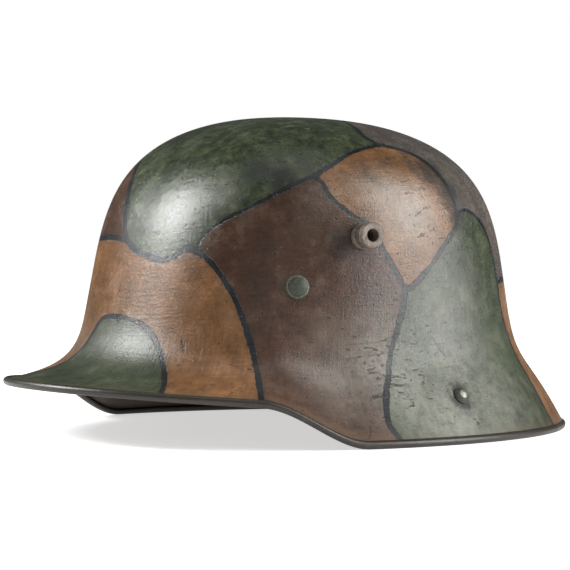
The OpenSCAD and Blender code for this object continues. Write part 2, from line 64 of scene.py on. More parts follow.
def pick(sizes, words):
    return [sizes[word] for word in words.split()]


# The pressed steel, by the same rule as the CAD part, in millimetres and degrees
steel = dict(
    crownZ=161.5, domeFront=100, domeBack=122, domeSide=93, domeFrontN=2.25, domeBackN=2.25,
    footFront=66.5, footSide=74.5, footBack=67, leanFront=0.24, leanSide=0, leanBack=0.2,
    crownFlat=3.85, shoulderFront=0.89, shoulderBack=0.84, sheet=1.2,
    rimFront=148.5, rimBack=159.5, rimSide=118.5, rimFrontN=2.03, rimBackN=2.04,
    visorRise=25, visorDroop=7.5, earStart=51, earEnd=76,
    slopeFront=3, slopeSide=54, slopeBack=60,
    rollRadius=2.05, rollStep=0.95, flareStart=0.55, flareEnd=0.61,
)
yMid = (steel["rimFront"] - steel["rimBack"]) / 2


def ease(v):
    return v * v * (3 - 2 * v)


def around(part, turn):
    # A size that is its Front, Side and Back at those places and smooth between
    front, side, back = (steel[part + end] for end in ("Front", "Side", "Back"))
    return (((front + back) / 2 + side) / 2 + (front - back) / 2 * np.cos(turn)
            + ((front + back) / 2 - side) / 2 * np.cos(2 * turn))


def plan(part, turn):
    # Radius of the dome's foot or of the rim: an oval with its own front and back
    front = np.cos(turn) > 0
    reach, power = (np.where(front, steel[f"{part}Front{end}"], steel[f"{part}Back{end}"]) for end in ("", "N"))
    return ((abs(np.sin(turn)) / steel[part + "Side"]) ** power + (abs(np.cos(turn)) / reach) ** power) ** (-1 / power)


def slopeOf(turn):
    return np.radians(around("slope", turn))


def rimHeight(turn):
    down = (np.degrees(np.arccos(np.cos(turn))) - steel["earStart"]) / (steel["earEnd"] - steel["earStart"])
    visor = steel["visorRise"] - steel["visorDroop"] * np.sin(turn) ** 2
    return steel["rollRadius"] + visor * (1 - ease(np.clip(down, 0, 1)))


def bezier(a, b, c, d, v):
    return a * (1 - v) ** 3 + 3 * b * v * (1 - v) ** 2 + 3 * c * v ** 2 * (1 - v) + d * v ** 3


def sectionAt(turn, level):
    # Radius and height of the outer face: level 0 is the crown, 1 the dome's foot, 2 the rim
    foot, lean, slope = around("foot", turn), around("lean", turn), slopeOf(turn)
    rise = steel["crownZ"] - foot
    back = (1 - np.cos(turn)) / 2
    power = (steel["shoulderFront"] * (1 - back) + steel["shoulderBack"] * back) / 2
    high = np.maximum(np.sin(np.pi / 2 * (1 - np.minimum(level, 1))), 0)
    start = plan("dome", turn)
    domeR = np.maximum(1 - high ** steel["crownFlat"], 0) ** power * (start - lean * rise * high)
    along = np.clip(level - 1, 0, 1)
    lift = steel["rollRadius"] - steel["rollStep"]
    endR, endZ = plan("rim", turn) + lift * np.sin(slope), rimHeight(turn) + lift * np.cos(slope)
    near = steel["flareStart"] * (foot - endZ)
    far = steel["flareEnd"] * np.hypot(endR - start, endZ - foot)
    skirtR = bezier(start, start + near * lean, endR - far * np.cos(slope), endR, along)
    skirtZ = bezier(foot, foot - near, endZ + far * np.sin(slope), endZ, along)
    return np.where(level <= 1, domeR, skirtR), np.where(level <= 1, foot + rise * high, skirtZ)


def placed(turn, radius, height):
    return np.stack([radius * np.sin(turn), yMid - radius * np.cos(turn), height], -1)


def sectionUnder(turn, level, depth, tiny=0.004):
    # The same section, sunk under the outer face
    r, z = sectionAt(turn, level)
    r1, z1 = sectionAt(turn, np.minimum(level + tiny, 2))
    r0, z0 = sectionAt(turn, np.maximum(level - tiny, 0))
    size = np.hypot(r1 - r0, z1 - z0)
    return r - depth * ((z0 - z1) / size), z - depth * ((r1 - r0) / size)


def skin(turn, level, depth=0.0):
    # A point under the outer face, in millimetres. turn is in radians from the visor to the wearer's left
    return placed(turn, *sectionUnder(turn, level, depth))


def onShell(degrees, height):
    # A frame on the outer face: Z leaves the steel, Y runs round it
    turn, levels = math.radians(degrees), np.linspace(0.001, 2, 4000)
    level = float(np.interp(-height, -sectionAt(np.full_like(levels, turn), levels)[1], levels))
    a, e = np.radians(0.1), 0.01
    across = np.cross(skin(turn, level + e) - skin(turn, level - e), skin(turn + a, level) - skin(turn - a, level))
    normal = Vector(across).normalized()
    spin = Matrix.Rotation(math.atan2(normal.y, normal.x), 4, "Z") @ Matrix.Rotation(math.acos(normal.z), 4, "Y")
    return Matrix.Translation(Vector(skin(turn, level)) * mm) @ spin


# Small tools for meshes
def link(name, data):
    piece = bpy.data.objects.new(name, data)
    bpy.context.scene.collection.objects.link(piece)
    return piece


def makeMesh(name, points, faces, edges=(), scale=mm):
    mesh = bpy.data.meshes.new(name)
    mesh.from_pydata((np.asarray(points, float) * scale).tolist(), edges, faces)
    mesh.shade_smooth()
    return link(name, mesh)


def rebuild(data, sources, *jobs):
    # Fills a mesh with the sources' faces after the jobs have changed them
    mesh = bmesh.new()
    for source in sources:
        mesh.from_mesh(source)
    for job in jobs:
        job(mesh)
    mesh.to_mesh(data)
    mesh.free()
    data.shade_smooth()
    return data


def faceOut(mesh):
    bmesh.ops.recalc_face_normals(mesh, faces=mesh.faces)


def weld(gap):
    return lambda mesh: bmesh.ops.remove_doubles(mesh, verts=mesh.verts, dist=gap)


def freeze(piece):
    # Turns the evaluated result into the piece's plain mesh
    bpy.context.view_layer.update()
    graph = bpy.context.evaluated_depsgraph_get()
    mesh = bpy.data.meshes.new_from_object(piece.evaluated_get(graph), preserve_all_data_layers=True, depsgraph=graph)
    piece.modifiers.clear()
    piece.data = mesh
    piece.data.shade_smooth()
    return piece


def bevelled(piece, width, angle):
    bevel = piece.modifiers.new("edges", "BEVEL")
    bevel.width, bevel.segments, bevel.limit_method = width * mm, 2, "ANGLE"
    bevel.angle_limit = math.radians(angle)
    freeze(piece).data.set_sharp_from_angle(angle=math.radians(50))


def lathe(name, profile, place, steps=96):
    # Turns a profile of (radius, height, corner) round the frame's Z. A closed profile repeats its first point
    def spin(mesh):
        closed, rings, corner = profile[0] == profile[-1], [], mesh.verts.layers.float.new("corner")
        for radius, height, *kind in profile[:-1] if closed else profile:
            turns = [2 * math.pi * i / steps for i in range(1 if radius < 1e-6 else steps)]
            ring = [mesh.verts.new((radius * mm * math.cos(a), radius * mm * math.sin(a), height * mm)) for a in turns]
            for point in ring:
                point[corner] = kind[0] if kind else 0
            rings.append(ring * (steps // len(ring)))
        for low, high in zip(rings, rings[1:] + (rings[:1] if closed else [])):
            for i in range(steps):
                k = (i + 1) % steps
                corners = list(dict.fromkeys((low[i], high[i], high[k], low[k])))
                if len(corners) > 2:
                    mesh.faces.new(corners)

    piece = link(name, rebuild(bpy.data.meshes.new(name), [], spin, faceOut))
    piece.data.transform(place)
    return piece


def joined(name, pieces):
    # Several meshes become one
    whole = link(name, rebuild(bpy.data.meshes.new(name), [piece.data for piece in pieces]))
    whole.data.set_sharp_from_angle(angle=math.radians(40))
    for piece in pieces:
        bpy.data.objects.remove(piece)
    return whole


def finish(piece, body, node=None, material=None):
    if material:
        piece.data.materials.clear()
        piece.data.materials.append(material)
    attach(piece, body)
    if node:
        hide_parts(node)
    return piece


def setAttribute(mesh, name, values):
    values = np.asarray(values, np.float32)
    kind, field = {1: ("FLOAT", "value"), 3: ("FLOAT_VECTOR", "vector"),
                   4: ("FLOAT_COLOR", "color")}[values.size // len(mesh.vertices)]
    mesh.attributes.new(name, kind, "POINT").data.foreach_set(field, values.ravel())


# Small tools for nodes
class Wire:
    # One output in a node tree. Arithmetic with it adds Math nodes, and | takes the larger of two values
    def __init__(self, socket):
        self.socket, self.tree = socket, socket.id_data

    def into(self, kind, key=0, sockets=None, output=0, **settings):  # a new node that takes this value
        return Wire(addNode(self.tree, kind, {key: self, **(sockets or {})}, **settings).outputs[output])

    def math(self, operation, other=0.0, turned=False):
        return self.into("ShaderNodeMath", int(turned), {int(not turned): other}, operation=operation)

    def __add__(self, other):
        return self.math("ADD", other)

    def __sub__(self, other):
        return self.math("SUBTRACT", other)

    def __rsub__(self, other):
        return self.math("SUBTRACT", other, True)

    def __mul__(self, other):
        return self.math("MULTIPLY", other)

    def __truediv__(self, other):
        return self.math("DIVIDE", other)

    def __lt__(self, other):
        return self.math("LESS_THAN", other)

    def __or__(self, other):
        return self.math("MAXIMUM", other)

    def __abs__(self):
        return self.math("ABSOLUTE")

    def clamped(self):
        self.socket.node.use_clamp = True
        return self

    def step(self, low, high, start=0.0, end=1.0):
        return self.into("ShaderNodeMapRange", "Value", {"From Min": low, "From Max": high, "To Min": start,
                                                         "To Max": end}, "Result", interpolation_type="SMOOTHSTEP")

    def mix(self, first, second):
        return self.into("ShaderNodeMix", 0, {6: first, 7: second}, 2, data_type="RGBA")

    def tint(self, colour):
        return self.into("ShaderNodeMix", 7, {0: 1.0, 6: colour}, 2, data_type="RGBA", blend_type="MULTIPLY")

    def noise(self, scale, detail=3.0, roughness=0.55, distortion=0.0, output="Fac"):
        return self.into("ShaderNodeTexNoise", "Vector", {"Scale": scale, "Detail": detail, "Roughness": roughness,
                                                          "Distortion": distortion}, output)

    def vector(self, operation, other=(0, 0, 0), output=0):
        return self.into("ShaderNodeVectorMath", 0, {1: other}, output, operation=operation)

    def scaled(self, share):
        return self.into("ShaderNodeVectorMath", 0, {3: share}, operation="SCALE")

    def waves(self, scale, distortion, way):
        return self.into("ShaderNodeTexWave", "Vector", {"Scale": scale, "Distortion": distortion}, "Fac",
                         bands_direction=way)

    def stretch(self, *scale):
        return self.into("ShaderNodeMapping", "Vector", {"Scale": scale})

    def bump(self, distance, under=None, strength=1.0):
        return self.into("ShaderNodeBump", "Height", {"Distance": distance, "Strength": strength,
                                                      **({"Normal": under} if under else {})})

    def parts(self, kind="XYZ"):
        return [Wire(output) for output in addNode(self.tree, "ShaderNodeSeparate" + kind, {0: self}).outputs[:3]]

    def read(self, name, output="Fac"):  # one of the mesh's attributes, in the same tree
        return Wire(addNode(self.tree, "ShaderNodeAttribute", attribute_name=name).outputs[output])

    def through(self, group, **sockets):  # the outputs of a group that takes this value first
        node = addNode(self.tree, "ShaderNodeGroup", node_tree=group)
        for key, value in {0: self, **sockets}.items():
            plug(node.inputs[key], value)
        return {output.name: Wire(output) for output in node.outputs}


def plug(socket, value):
    if isinstance(value, Wire):
        socket.id_data.links.new(value.socket, socket)
    else:
        socket.default_value = value


def addNode(tree, kind, sockets=None, **settings):
    node = tree.nodes.new(kind)
    for key, value in settings.items():
        setattr(node, key, value)
    for key, value in (sockets or {}).items():
        plug(node.inputs[key], value)
    return node


def newMaterial(name):
    material = bpy.data.materials.new(name)
    material.use_nodes = True
    return material, Wire(addNode(material.node_tree, "ShaderNodeTexCoord").outputs["Object"])


def dress(material, **sockets):
    names = dict(colour="Base Color", specular="Specular IOR Level", sheen="Sheen Weight", glow="Emission Color",
                 glowing="Emission Strength")
    for key, value in sockets.items():
        plug(material.node_tree.nodes["Principled BSDF"].inputs[names.get(key, key.capitalize())], value)
    return material


def newGroup(name, kind, inputs, *outputs):
    # A number among the inputs is a socket's starting value, and a word is its kind
    group = bpy.data.node_groups.new(name, kind + "NodeTree")
    names = {}
    for label, value in inputs.items():
        word = value if isinstance(value, str) else type(value).__name__.title()
        socket = group.interface.new_socket(label, in_out="INPUT", socket_type="NodeSocket" + word)
        if word != value:
            socket.default_value = value
        names[label] = socket.identifier
    for label in outputs:
        word = "Geometry" if label == "Geometry" else "Float"
        group.interface.new_socket(label, in_out="OUTPUT", socket_type="NodeSocket" + word)
    given = group.nodes.new("NodeGroupInput").outputs
    return group, names, {label: Wire(given[label]) for label in inputs}, group.nodes.new("NodeGroupOutput").inputs


# Camera, lights and floor
view = dict(turn=55.365, tilt=1.387, roll=0.573, distance=1.4, focalPixels=2697.8, framePixels=570,
            aim=(0.0, -0.0055, 0.08705), aimPixel=(284.056, 261.127))
studio = dict(
    softboxes=[  # turn from the visor, height angle, distance, width, height, power
        (-40, 30, 1.15, 0.40, 0.34, 14.5),
        (-30, 18, 1.3, 0.8, 0.4, 2.5),
        (134, 15, 1.15, 0.55, 0.95, 15.5),
        (108, 40, 1.3, 0.7, 0.7, 3.2),
        (50, 78, 1.3, 0.9, 0.6, 2.3),
        (52, 12, 1.9, 0.8, 0.8, 1.2),
    ],
    centre=(0, 0, 0.09), fill=0.08, floorHalf=3, floorTone=(0.86, 0.86, 0.86, 1), floorSeen=(0.6, 1.0),
    floorLit=0.29, floorFade=(0.22, 0.7),
)


def towards(turn, rise):
    az, el = math.radians(turn), math.radians(rise)
    return Vector((math.sin(az) * math.cos(el), -math.cos(az) * math.cos(el), math.sin(el)))


def placeCamera():
    roll, back = math.radians(view["roll"]), towards(view["turn"], view["tilt"])
    right = (-back).cross(Vector((0, 0, 1))).normalized()
    up = right.cross(-back)
    right, up = math.cos(roll) * right + math.sin(roll) * up, math.cos(roll) * up - math.sin(roll) * right
    aside, below = (view["framePixels"] / 2 - pixel for pixel in view["aimPixel"])
    ahead = (-back * view["focalPixels"] + right * aside - up * below).normalized()
    right = (right - right.dot(ahead) * ahead).normalized()
    camera = link("camera", bpy.data.cameras.new("camera"))
    turned = Matrix((right, right.cross(ahead), -ahead)).transposed().to_4x4()
    camera.matrix_world = Matrix.Translation(Vector(view["aim"]) + back * view["distance"]) @ turned
    camera.data.sensor_width = 36
    camera.data.lens = view["focalPixels"] / view["framePixels"] * 36
    camera.data.clip_start = 0.01
    bpy.context.scene.camera = camera


def lightStudio():
    for number, (turn, rise, far, width, height, power) in enumerate(studio["softboxes"]):
        way = towards(turn, rise)
        lamp = bpy.data.lights.new(f"softbox{number}", "AREA")
        lamp.shape, lamp.size, lamp.size_y, lamp.energy = "RECTANGLE", width, height, power
        spot = Matrix.Translation(Vector(studio["centre"]) + way * far)
        link(lamp.name, lamp).matrix_world = spot @ way.to_track_quat("Z", "Y").to_matrix().to_4x4()
    world = bpy.data.worlds.new("studio")
    bpy.context.scene.world = world
    world.use_nodes = True
    seen = Wire(addNode(world.node_tree, "ShaderNodeLightPath").outputs["Is Camera Ray"])
    sky = world.node_tree.nodes["Background"].inputs
    plug(sky["Strength"], seen * (1.0 - studio["fill"]) + studio["fill"])
    plug(sky["Color"], (1, 1, 1, 1))
    floor = makeMesh("floor", [(-1, -1, 0), (1, -1, 0), (1, 1, 0), (-1, 1, 0)], [(0, 1, 2, 3)], (), studio["floorHalf"])
    paper, place = newMaterial("paleFloor")
    seen = Wire(addNode(place.tree, "ShaderNodeLightPath").outputs["Is Camera Ray"])
    shine = place.vector("LENGTH", output="Value").step(*studio["floorFade"], *studio["floorSeen"])
    glowing = seen.into("ShaderNodeMix", 0, {2: studio["floorLit"], 3: shine})
    dress(paper, colour=studio["floorTone"], roughness=0.9, specular=0.0, glow=(1, 1, 1, 1), glowing=glowing)
    floor.data.materials.append(paper)
    bpy.context.scene.view_settings.view_transform = "Standard"


placeCamera()
lightStudio()
print("camera, lights and floor placed")

# The camouflage: borders between the patches, as (degrees from the visor, level)
borders = dict(
    browFront=(4.0, [(-3.6, 0.785), (-6.6, 0.753), (-10.5, 0.695), (-15.5, 0.617), (-20.5, 0.553), (-29.3, 0.477),
                     (-40, 0.43), (-54, 0.41)]),
    browLow=(3.2, [(-60, 0.8), (-45, 0.815), (-27.4, 0.791), (-14.7, 0.779), (-7, 0.783), (-3.6, 0.785)]),
    brow=(3.5, [(-3.6, 0.785), (1.2, 0.812), (6.9, 0.832), (14.6, 0.852), (18.7, 0.851), (22.3, 0.837),
                (25.3, 0.817), (28.6, 0.825)]),
    topSide=(2.2, [(28.6, 0.825), (30.4, 0.78), (33.4, 0.746), (38.2, 0.711), (43.6, 0.679), (48.4, 0.649),
                   (53.9, 0.611), (59.3, 0.576), (64.3, 0.547)]),
    crownSide=(2.6, [(64.3, 0.547), (70.2, 0.505), (77.9, 0.447), (86.9, 0.405), (97.9, 0.376)]),
    crownBack=(2.8, [(97.9, 0.376), (94.7, 0.327), (98.3, 0.248), (112, 0.15), (165, 0.09), (-135, 0.13), (-98, 0.27)]),
    tanBack=(3.0, [(97.9, 0.376), (105.8, 0.398), (112.3, 0.437), (115.7, 0.489), (117.5, 0.548), (118.8, 0.602),
                   (119, 0.675), (118, 0.752)]),
    lugTan=(2.5, [(64.3, 0.547), (67.3, 0.58), (69.8, 0.641), (73.2, 0.682), (77.6, 0.727), (81.6, 0.758),
                  (85, 0.812), (87.5, 0.86), (90.1, 0.904), (92.8, 0.948), (95.2, 0.99)]),
    tanGreen=(2.9, [(118, 0.752), (112.2, 0.819), (107.2, 0.884), (102.2, 0.94), (97.9, 0.984), (95.2, 0.99)]),
    sideGreen=(3.2, [(95.2, 0.99), (94.8, 1.051), (93.3, 1.139), (91, 1.269), (89.1, 1.401), (87.2, 1.584),
                     (84.2, 1.771), (82.9, 1.863), (82.7, 1.932), (85, 2.02), (87, 2.15)]),
    ochreSide=(3.0, [(28.6, 0.825), (32.4, 0.85), (36.1, 0.893), (39.4, 0.945), (41.8, 0.997), (44.3, 1.138),
                     (46.7, 1.362), (48.8, 1.678), (51, 2), (52, 2.15)]),
    greenBack=(2.2, [(118, 0.752), (120.3, 0.703), (125, 0.684), (131.6, 0.717), (136.1, 0.777), (138.5, 0.861),
                     (139.7, 0.951)]),
    greenStrip=(2.2, [(139.7, 0.951), (141.2, 1.084), (143.5, 1.309), (143.5, 1.6), (142, 1.85), (141.5, 2),
                      (141.5, 2.15)]),
    napeTop=(3.0, [(139.7, 0.951), (143.2, 0.939), (150, 0.926), (163, 0.9), (178, 0.93), (-168, 0.985), (-152, 0.95)]),
    visorPatch=(2.8, [(32, 2.15), (30, 1.936), (25.9, 1.656), (22.4, 1.437), (19, 1.287), (14.9, 1.19), (9.5, 1.134),
                      (1.9, 1.107), (-6.3, 1.127), (-9, 1.185), (-11.1, 1.312), (-13, 1.47), (-14.5, 1.62),
                      (-19, 1.78), (-25, 1.93), (-30, 2.15)]),
    farFront=(3.0, [(-60, 0.8), (-66, 0.93), (-68, 1.1), (-64, 1.35), (-59, 1.7), (-57, 2), (-57, 2.15)]),
    browSide=(3.0, [(-54, 0.41), (-60, 0.52), (-64, 0.64), (-63, 0.73), (-60, 0.8)]),
    farTop=(2.8, [(-54, 0.41), (-66, 0.36), (-80, 0.3), (-98, 0.27)]),
    farCrown=(2.8, [(-98, 0.27), (-108, 0.36), (-119, 0.47), (-128, 0.58), (-136, 0.68)]),
    farGreenTop=(3.0, [(-136, 0.68), (-140, 0.78), (-146, 0.88), (-152, 0.95)]),
    farTanGreen=(2.9, [(-136, 0.68), (-124, 0.74), (-112, 0.83), (-101, 0.93)]),
    farTanBrown=(3.1, [(-60, 0.8), (-70, 0.74), (-80, 0.76), (-90, 0.85), (-101, 0.93)]),
    farBrownGreen=(3.0, [(-101, 0.93), (-103, 1.08), (-107, 1.3), (-108, 1.6), (-105, 1.85), (-104, 2), (-104, 2.15)]),
    napeSide=(3.0, [(-152, 0.95), (-156, 1.1), (-158, 1.4), (-155, 1.7), (-152, 2), (-151, 2.15)]),
)
paints = dict(green=srgb(56, 64, 45), ochre=srgb(114, 80, 50), brown=srgb(70, 48, 35), rust=srgb(80, 73, 67))
# Each patch is walked round by its borders: a minus walks one backwards, and numbers walk the rim
patches = [
    ("green", ["browFront", "farTop", "-crownBack", "-crownSide", "-topSide", "-brow"]),
    ("brown", ["browFront", "browSide", "browLow"]),
    ("ochre", ["brow", "ochreSide", (52, -57), "-farFront", "browLow"]),
    ("green", ["visorPatch", (-30, 32)]),
    ("brown", ["topSide", "lugTan", "sideGreen", (87, 52), "-ochreSide"]),
    ("ochre", ["crownSide", "tanBack", "tanGreen", "-lugTan"]),
    ("green", ["-tanGreen", "greenBack", "greenStrip", (141.5, 87), "-sideGreen"]),
    ("rust", ["crownBack", "farCrown", "farGreenTop", "-napeTop", "-greenBack", "-tanBack"]),
    ("ochre", ["napeTop", "napeSide", (209, 141.5), "-greenStrip"]),
    ("ochre", ["farTop", "farCrown", "farTanGreen", "-farTanBrown", "-browSide"]),
    ("brown", ["farTanBrown", "farBrownGreen", (-104, -57), "-farFront"]),
    ("green", ["-farTanGreen", "farGreenTop", "napeSide", (-151, -104), "-farBrownGreen"]),
]
beyondRim = 2.15  # the borders run on past the rim, to this level
hollow = np.array([0, yMid, 60])  # a place in the hollow, from where a border's two sides are told
noLine = [40.0, 40.0, 2.0]  # far from every border: the gap, the gap with its side as a sign, half the line's width


def onDisc(turn, level):
    # The whole helmet flattened to a disc, the crown in its middle
    return np.stack([level * np.sin(turn), level * np.cos(turn)], -1)


def smoothLine(points, pieces=8):
    # A Catmull-Rom curve on the disc through the border's points
    degrees, levels = np.array(points, float).T
    knots = onDisc(np.radians(degrees), levels)
    knots = np.vstack([2 * knots[0] - knots[1], knots, 2 * knots[-1] - knots[-2]])
    v = np.linspace(0, 1, pieces, endpoint=False)[:, None]
    runs = [0.5 * (2 * b + (c - a) * v + (2 * a - 5 * b + 4 * c - d) * v ** 2 + (3 * b - a - 3 * c + d) * v ** 3)
            for a, b, c, d in zip(knots, knots[1:], knots[2:], knots[3:])]
    return np.vstack(runs + [knots[-2:-1]])


curves = {name: smoothLine(points) for name, (_, points) in borders.items()}


def walk(steps):
    outline = []
    for item in steps:
        if isinstance(item, tuple):
            outline.append(onDisc(np.radians(np.linspace(*item, 40)), beyondRim))
        else:
            outline.append(curves[item[1:]][::-1] if item[0] == "-" else curves[item])
    return np.vstack(outline)


def isInside(points, outline):
    x, y = points.T
    inside = np.zeros(len(x), bool)
    for (x0, y0), (x1, y1) in zip(outline, np.roll(outline, -1, 0)):
        if y0 != y1:
            inside ^= ((y0 > y) != (y1 > y)) & (x < (x1 - x0) * (y - y0) / (y1 - y0) + x0)
    return inside


def nearestLine(points):
    # For each point the three values of noLine, in millimetres
    far, sided, half = (np.full(len(points), v) for v in noLine)
    for name, (width, _) in borders.items():
        x, y = curves[name].T
        line = skin(np.arctan2(x, y), np.minimum(np.hypot(x, y), 2))
        for a, b in zip(line[:-1], line[1:]):
            way, away = b - a, points - a
            away -= np.clip(away @ way / max(way @ way, 1e-9), 0, 1)[:, None] * way
            gap = np.linalg.norm(away, axis=1)
            side = np.sign(away @ np.cross(way, a - hollow))
            nearer = gap - width / 2 < far - half
            far[nearer], sided[nearer], half[nearer] = gap[nearer], (gap * side)[nearer], width / 2
    return np.stack([far, sided, half], -1)


def patchColours(disc):
    colours = np.tile(np.array(paints["ochre"]), (len(disc), 1))
    for paint, steps in patches:
        colours[isInside(disc, walk(steps))] = paints[paint]
    return colours


# Larger marks in the paint: degrees, level, radius in millimetres, strength
marks = dict(
    # Soot and grime smudges; those beside the vent lugs are also painted shadow, and the one low on the ear at 64
    # degrees is painted shade that dims a highlight
    smearAndShade=[(46, 0.52, 12, 0.6), (62, 0.47, 12, 0.45), (54, 0.55, 12, 0.6), (55, 0.44, 24, 0.33), (85, 0.52, 14, 0.42),
           (96, 0.47, 14, 0.45), (106, 0.47, 13, 0.55), (112.5, 0.53, 13, 0.75), (117, 0.62, 12, 0.8),
           (119, 0.72, 10, 0.65), (119.8, 0.886, 9, 0.42), (126, 0.84, 10, 0.34), (73, 0.82, 11, 0.5),
           (79, 0.84, 13, 0.35), (108.4, 1.786, 9, 0.85), (59.4, 0.967, 9, 0.6), (33.8, 0.66, 6, 0.25),
           (126, 1.94, 9, 0.5), (64, 1.75, 22, 0.3), (-20, 0.3, 22, 0.5), (-80, 0.6, 18, 0.5), (-59.4, 0.967, 8.5, 0.5),
           (-108.4, 1.786, 8.5, 0.55), (-76, 0.84, 12, 0.5), (-125, 1.3, 20, 0.4), (170, 0.6, 24, 0.5),
           (180, 1.5, 18, 0.4)],
    # Paler patches, whitened towards the haze tone
    paler=[(90, 1.75, 20, 0.75), (86, 1.5, 24, 0.5), (98, 0.7, 16, 0.4), (125, 0.5, 26, 0.09), (66, 0.68, 16, 0.1),
           (76, 1.6, 26, 0.3), (101, 1.9, 24, 0.6), (110, 1.6, 28, 0.4), (120, 1.8, 30, 0.4), (112, 1.1, 26, 0.25),
           (10, 1.25, 22, 0.22), (88, 0.6, 12, 0.3), (36, 0.62, 8, 0.4), (-30, 1.5, 24, 0.3), (-95, 1.6, 26, 0.4),
           (-70, 0.7, 18, 0.3), (165, 1.4, 26, 0.35), (-150, 1.7, 24, 0.3)],
    dashes=[(87.6, 1.304, 12, 0.75), (84, 1.38, 12, 0.8), (93, 1.31, 10, 0.55), (86, 1.6, 13, 0.8),
            (92.5, 1.7, 14, 0.8), (99, 1.5, 12, 0.6), (102, 0.66, 14, 0.4), (66, 1.02, 10, 0.45), (47, 1.5, 10, 0.4),
            (-100, 1.5, 22, 0.7), (-40, 1.3, 18, 0.5), (160, 1.2, 22, 0.6)],
)


def marksAt(points):
    columns = []
    for spots in marks.values():
        shown = np.zeros(len(points))
        for degrees, level, radius, strength in spots:
            away = points - skin(math.radians(degrees), np.float64(level))
            shown = np.maximum(shown, strength * np.exp(-(away ** 2).sum(1) / radius ** 2))
        columns.append(shown)
    return np.stack(columns, -1)


# The shell: one closed sheet with its edge rolled under, as far as the lip's degrees. The two last sizes are the radii,
# in metres, of its flat sheet and of the cylinder that the brush strokes lie on
shellMesh = dict(columns=420, domeRows=72, skirtRows=56, rollRows=17, lipRows=7, innerRows=22, lip=155, holeReach=9.0,
                 holeDepth=14, sheetRadius=0.1, wrapRadius=0.11)
ventHole = dict(degrees=79.6, height=101.5, radius=4.4)


def grid(rows, columns, roundAll=False, roundRow=True):
    # The faces between rows of points. Each row may close, and the last row may meet the first
    return [(j * columns + i, j * columns + (i + 1) % columns, (j + 1) % rows * columns + (i + 1) % columns,
             (j + 1) % rows * columns + i) for j in range(rows - 1 + roundAll) for i in range(columns - 1 + roundRow)]


def shellRows(turn):
    # Every row as (radii, heights, level, rolled, inside), from the crown out, round the rim and back in
    roll, sheet, rollStep = pick(steel, "rollRadius sheet rollStep")
    domeRows, skirtRows, innerRows, lip = pick(shellMesh, "domeRows skirtRows innerRows lip")
    inner = roll - sheet
    rim, high, slope = plan("rim", turn), rimHeight(turn), slopeOf(turn)
    stop = 1 - roll / (3 * steel["flareEnd"] * np.hypot(rim - plan("dome", turn), around("foot", turn) - high))
    top = 180 - math.degrees(math.asin((roll - rollStep) / roll))
    mouth = 180 + math.degrees(math.asin((sheet + rollStep - roll) / inner))

    def rolled(radius, degrees):
        a = math.radians(degrees)
        return (rim + radius * (math.cos(a) * np.cos(slope) + math.sin(a) * np.sin(slope)),
                high + radius * (math.sin(a) * np.cos(slope) - math.cos(a) * np.sin(slope)))

    levels = [np.full_like(turn, i / domeRows) for i in range(1, domeRows + 1)]
    levels += [1 + stop * i / skirtRows for i in range(1, skirtRows + 1)]
    rows = [(*sectionAt(turn, level), level, 0, 0) for level in levels]
    for radius, start, end, count, inside in ((roll, top, -lip, shellMesh["rollRows"], 0),
                                              (inner, -lip, mouth, shellMesh["lipRows"], 1)):
        rows += [(*rolled(radius, a), np.full_like(turn, 2), 1, inside) for a in np.linspace(start, end, count)]
    back = range(innerRows, 0, -1)
    for q in [1 + i / innerRows for i in back[1:]] + [i / innerRows for i in back]:
        level = np.where(q > 1, 1 + stop * (q - 1), q)
        rows.append((*sectionUnder(turn, level, sheet), level, 0, 1))
    return rows


def openVents(points, faces):
    # The face on each hole's axis goes, and what is round it moves out to the hole's edge
    gone, centres = set(), np.array([points[list(f)].mean(0) for f in faces])
    hole, holeReach = ventHole["radius"], shellMesh["holeReach"]
    for side in sides.values():
        place = onShell(side * ventHole["degrees"], ventHole["height"])
        start, axis = np.array(place.translation) / mm, np.array(place.col[2][:3])
        for wall in (0, steel["sheet"]):
            gone.add(int(np.argmin(((centres - start + wall * axis) ** 2).sum(1))))
        away = points - start
        off = away - np.outer(away @ axis, axis)
        far = np.linalg.norm(off, axis=1)
        move = (np.linalg.norm(away, axis=1) < shellMesh["holeDepth"]) & (far < holeReach)
        reach = hole + far * (holeReach - hole) / holeReach
        points[move] += off[move] * (reach / np.maximum(far, 1e-6) - 1)[move, None]
    return gone


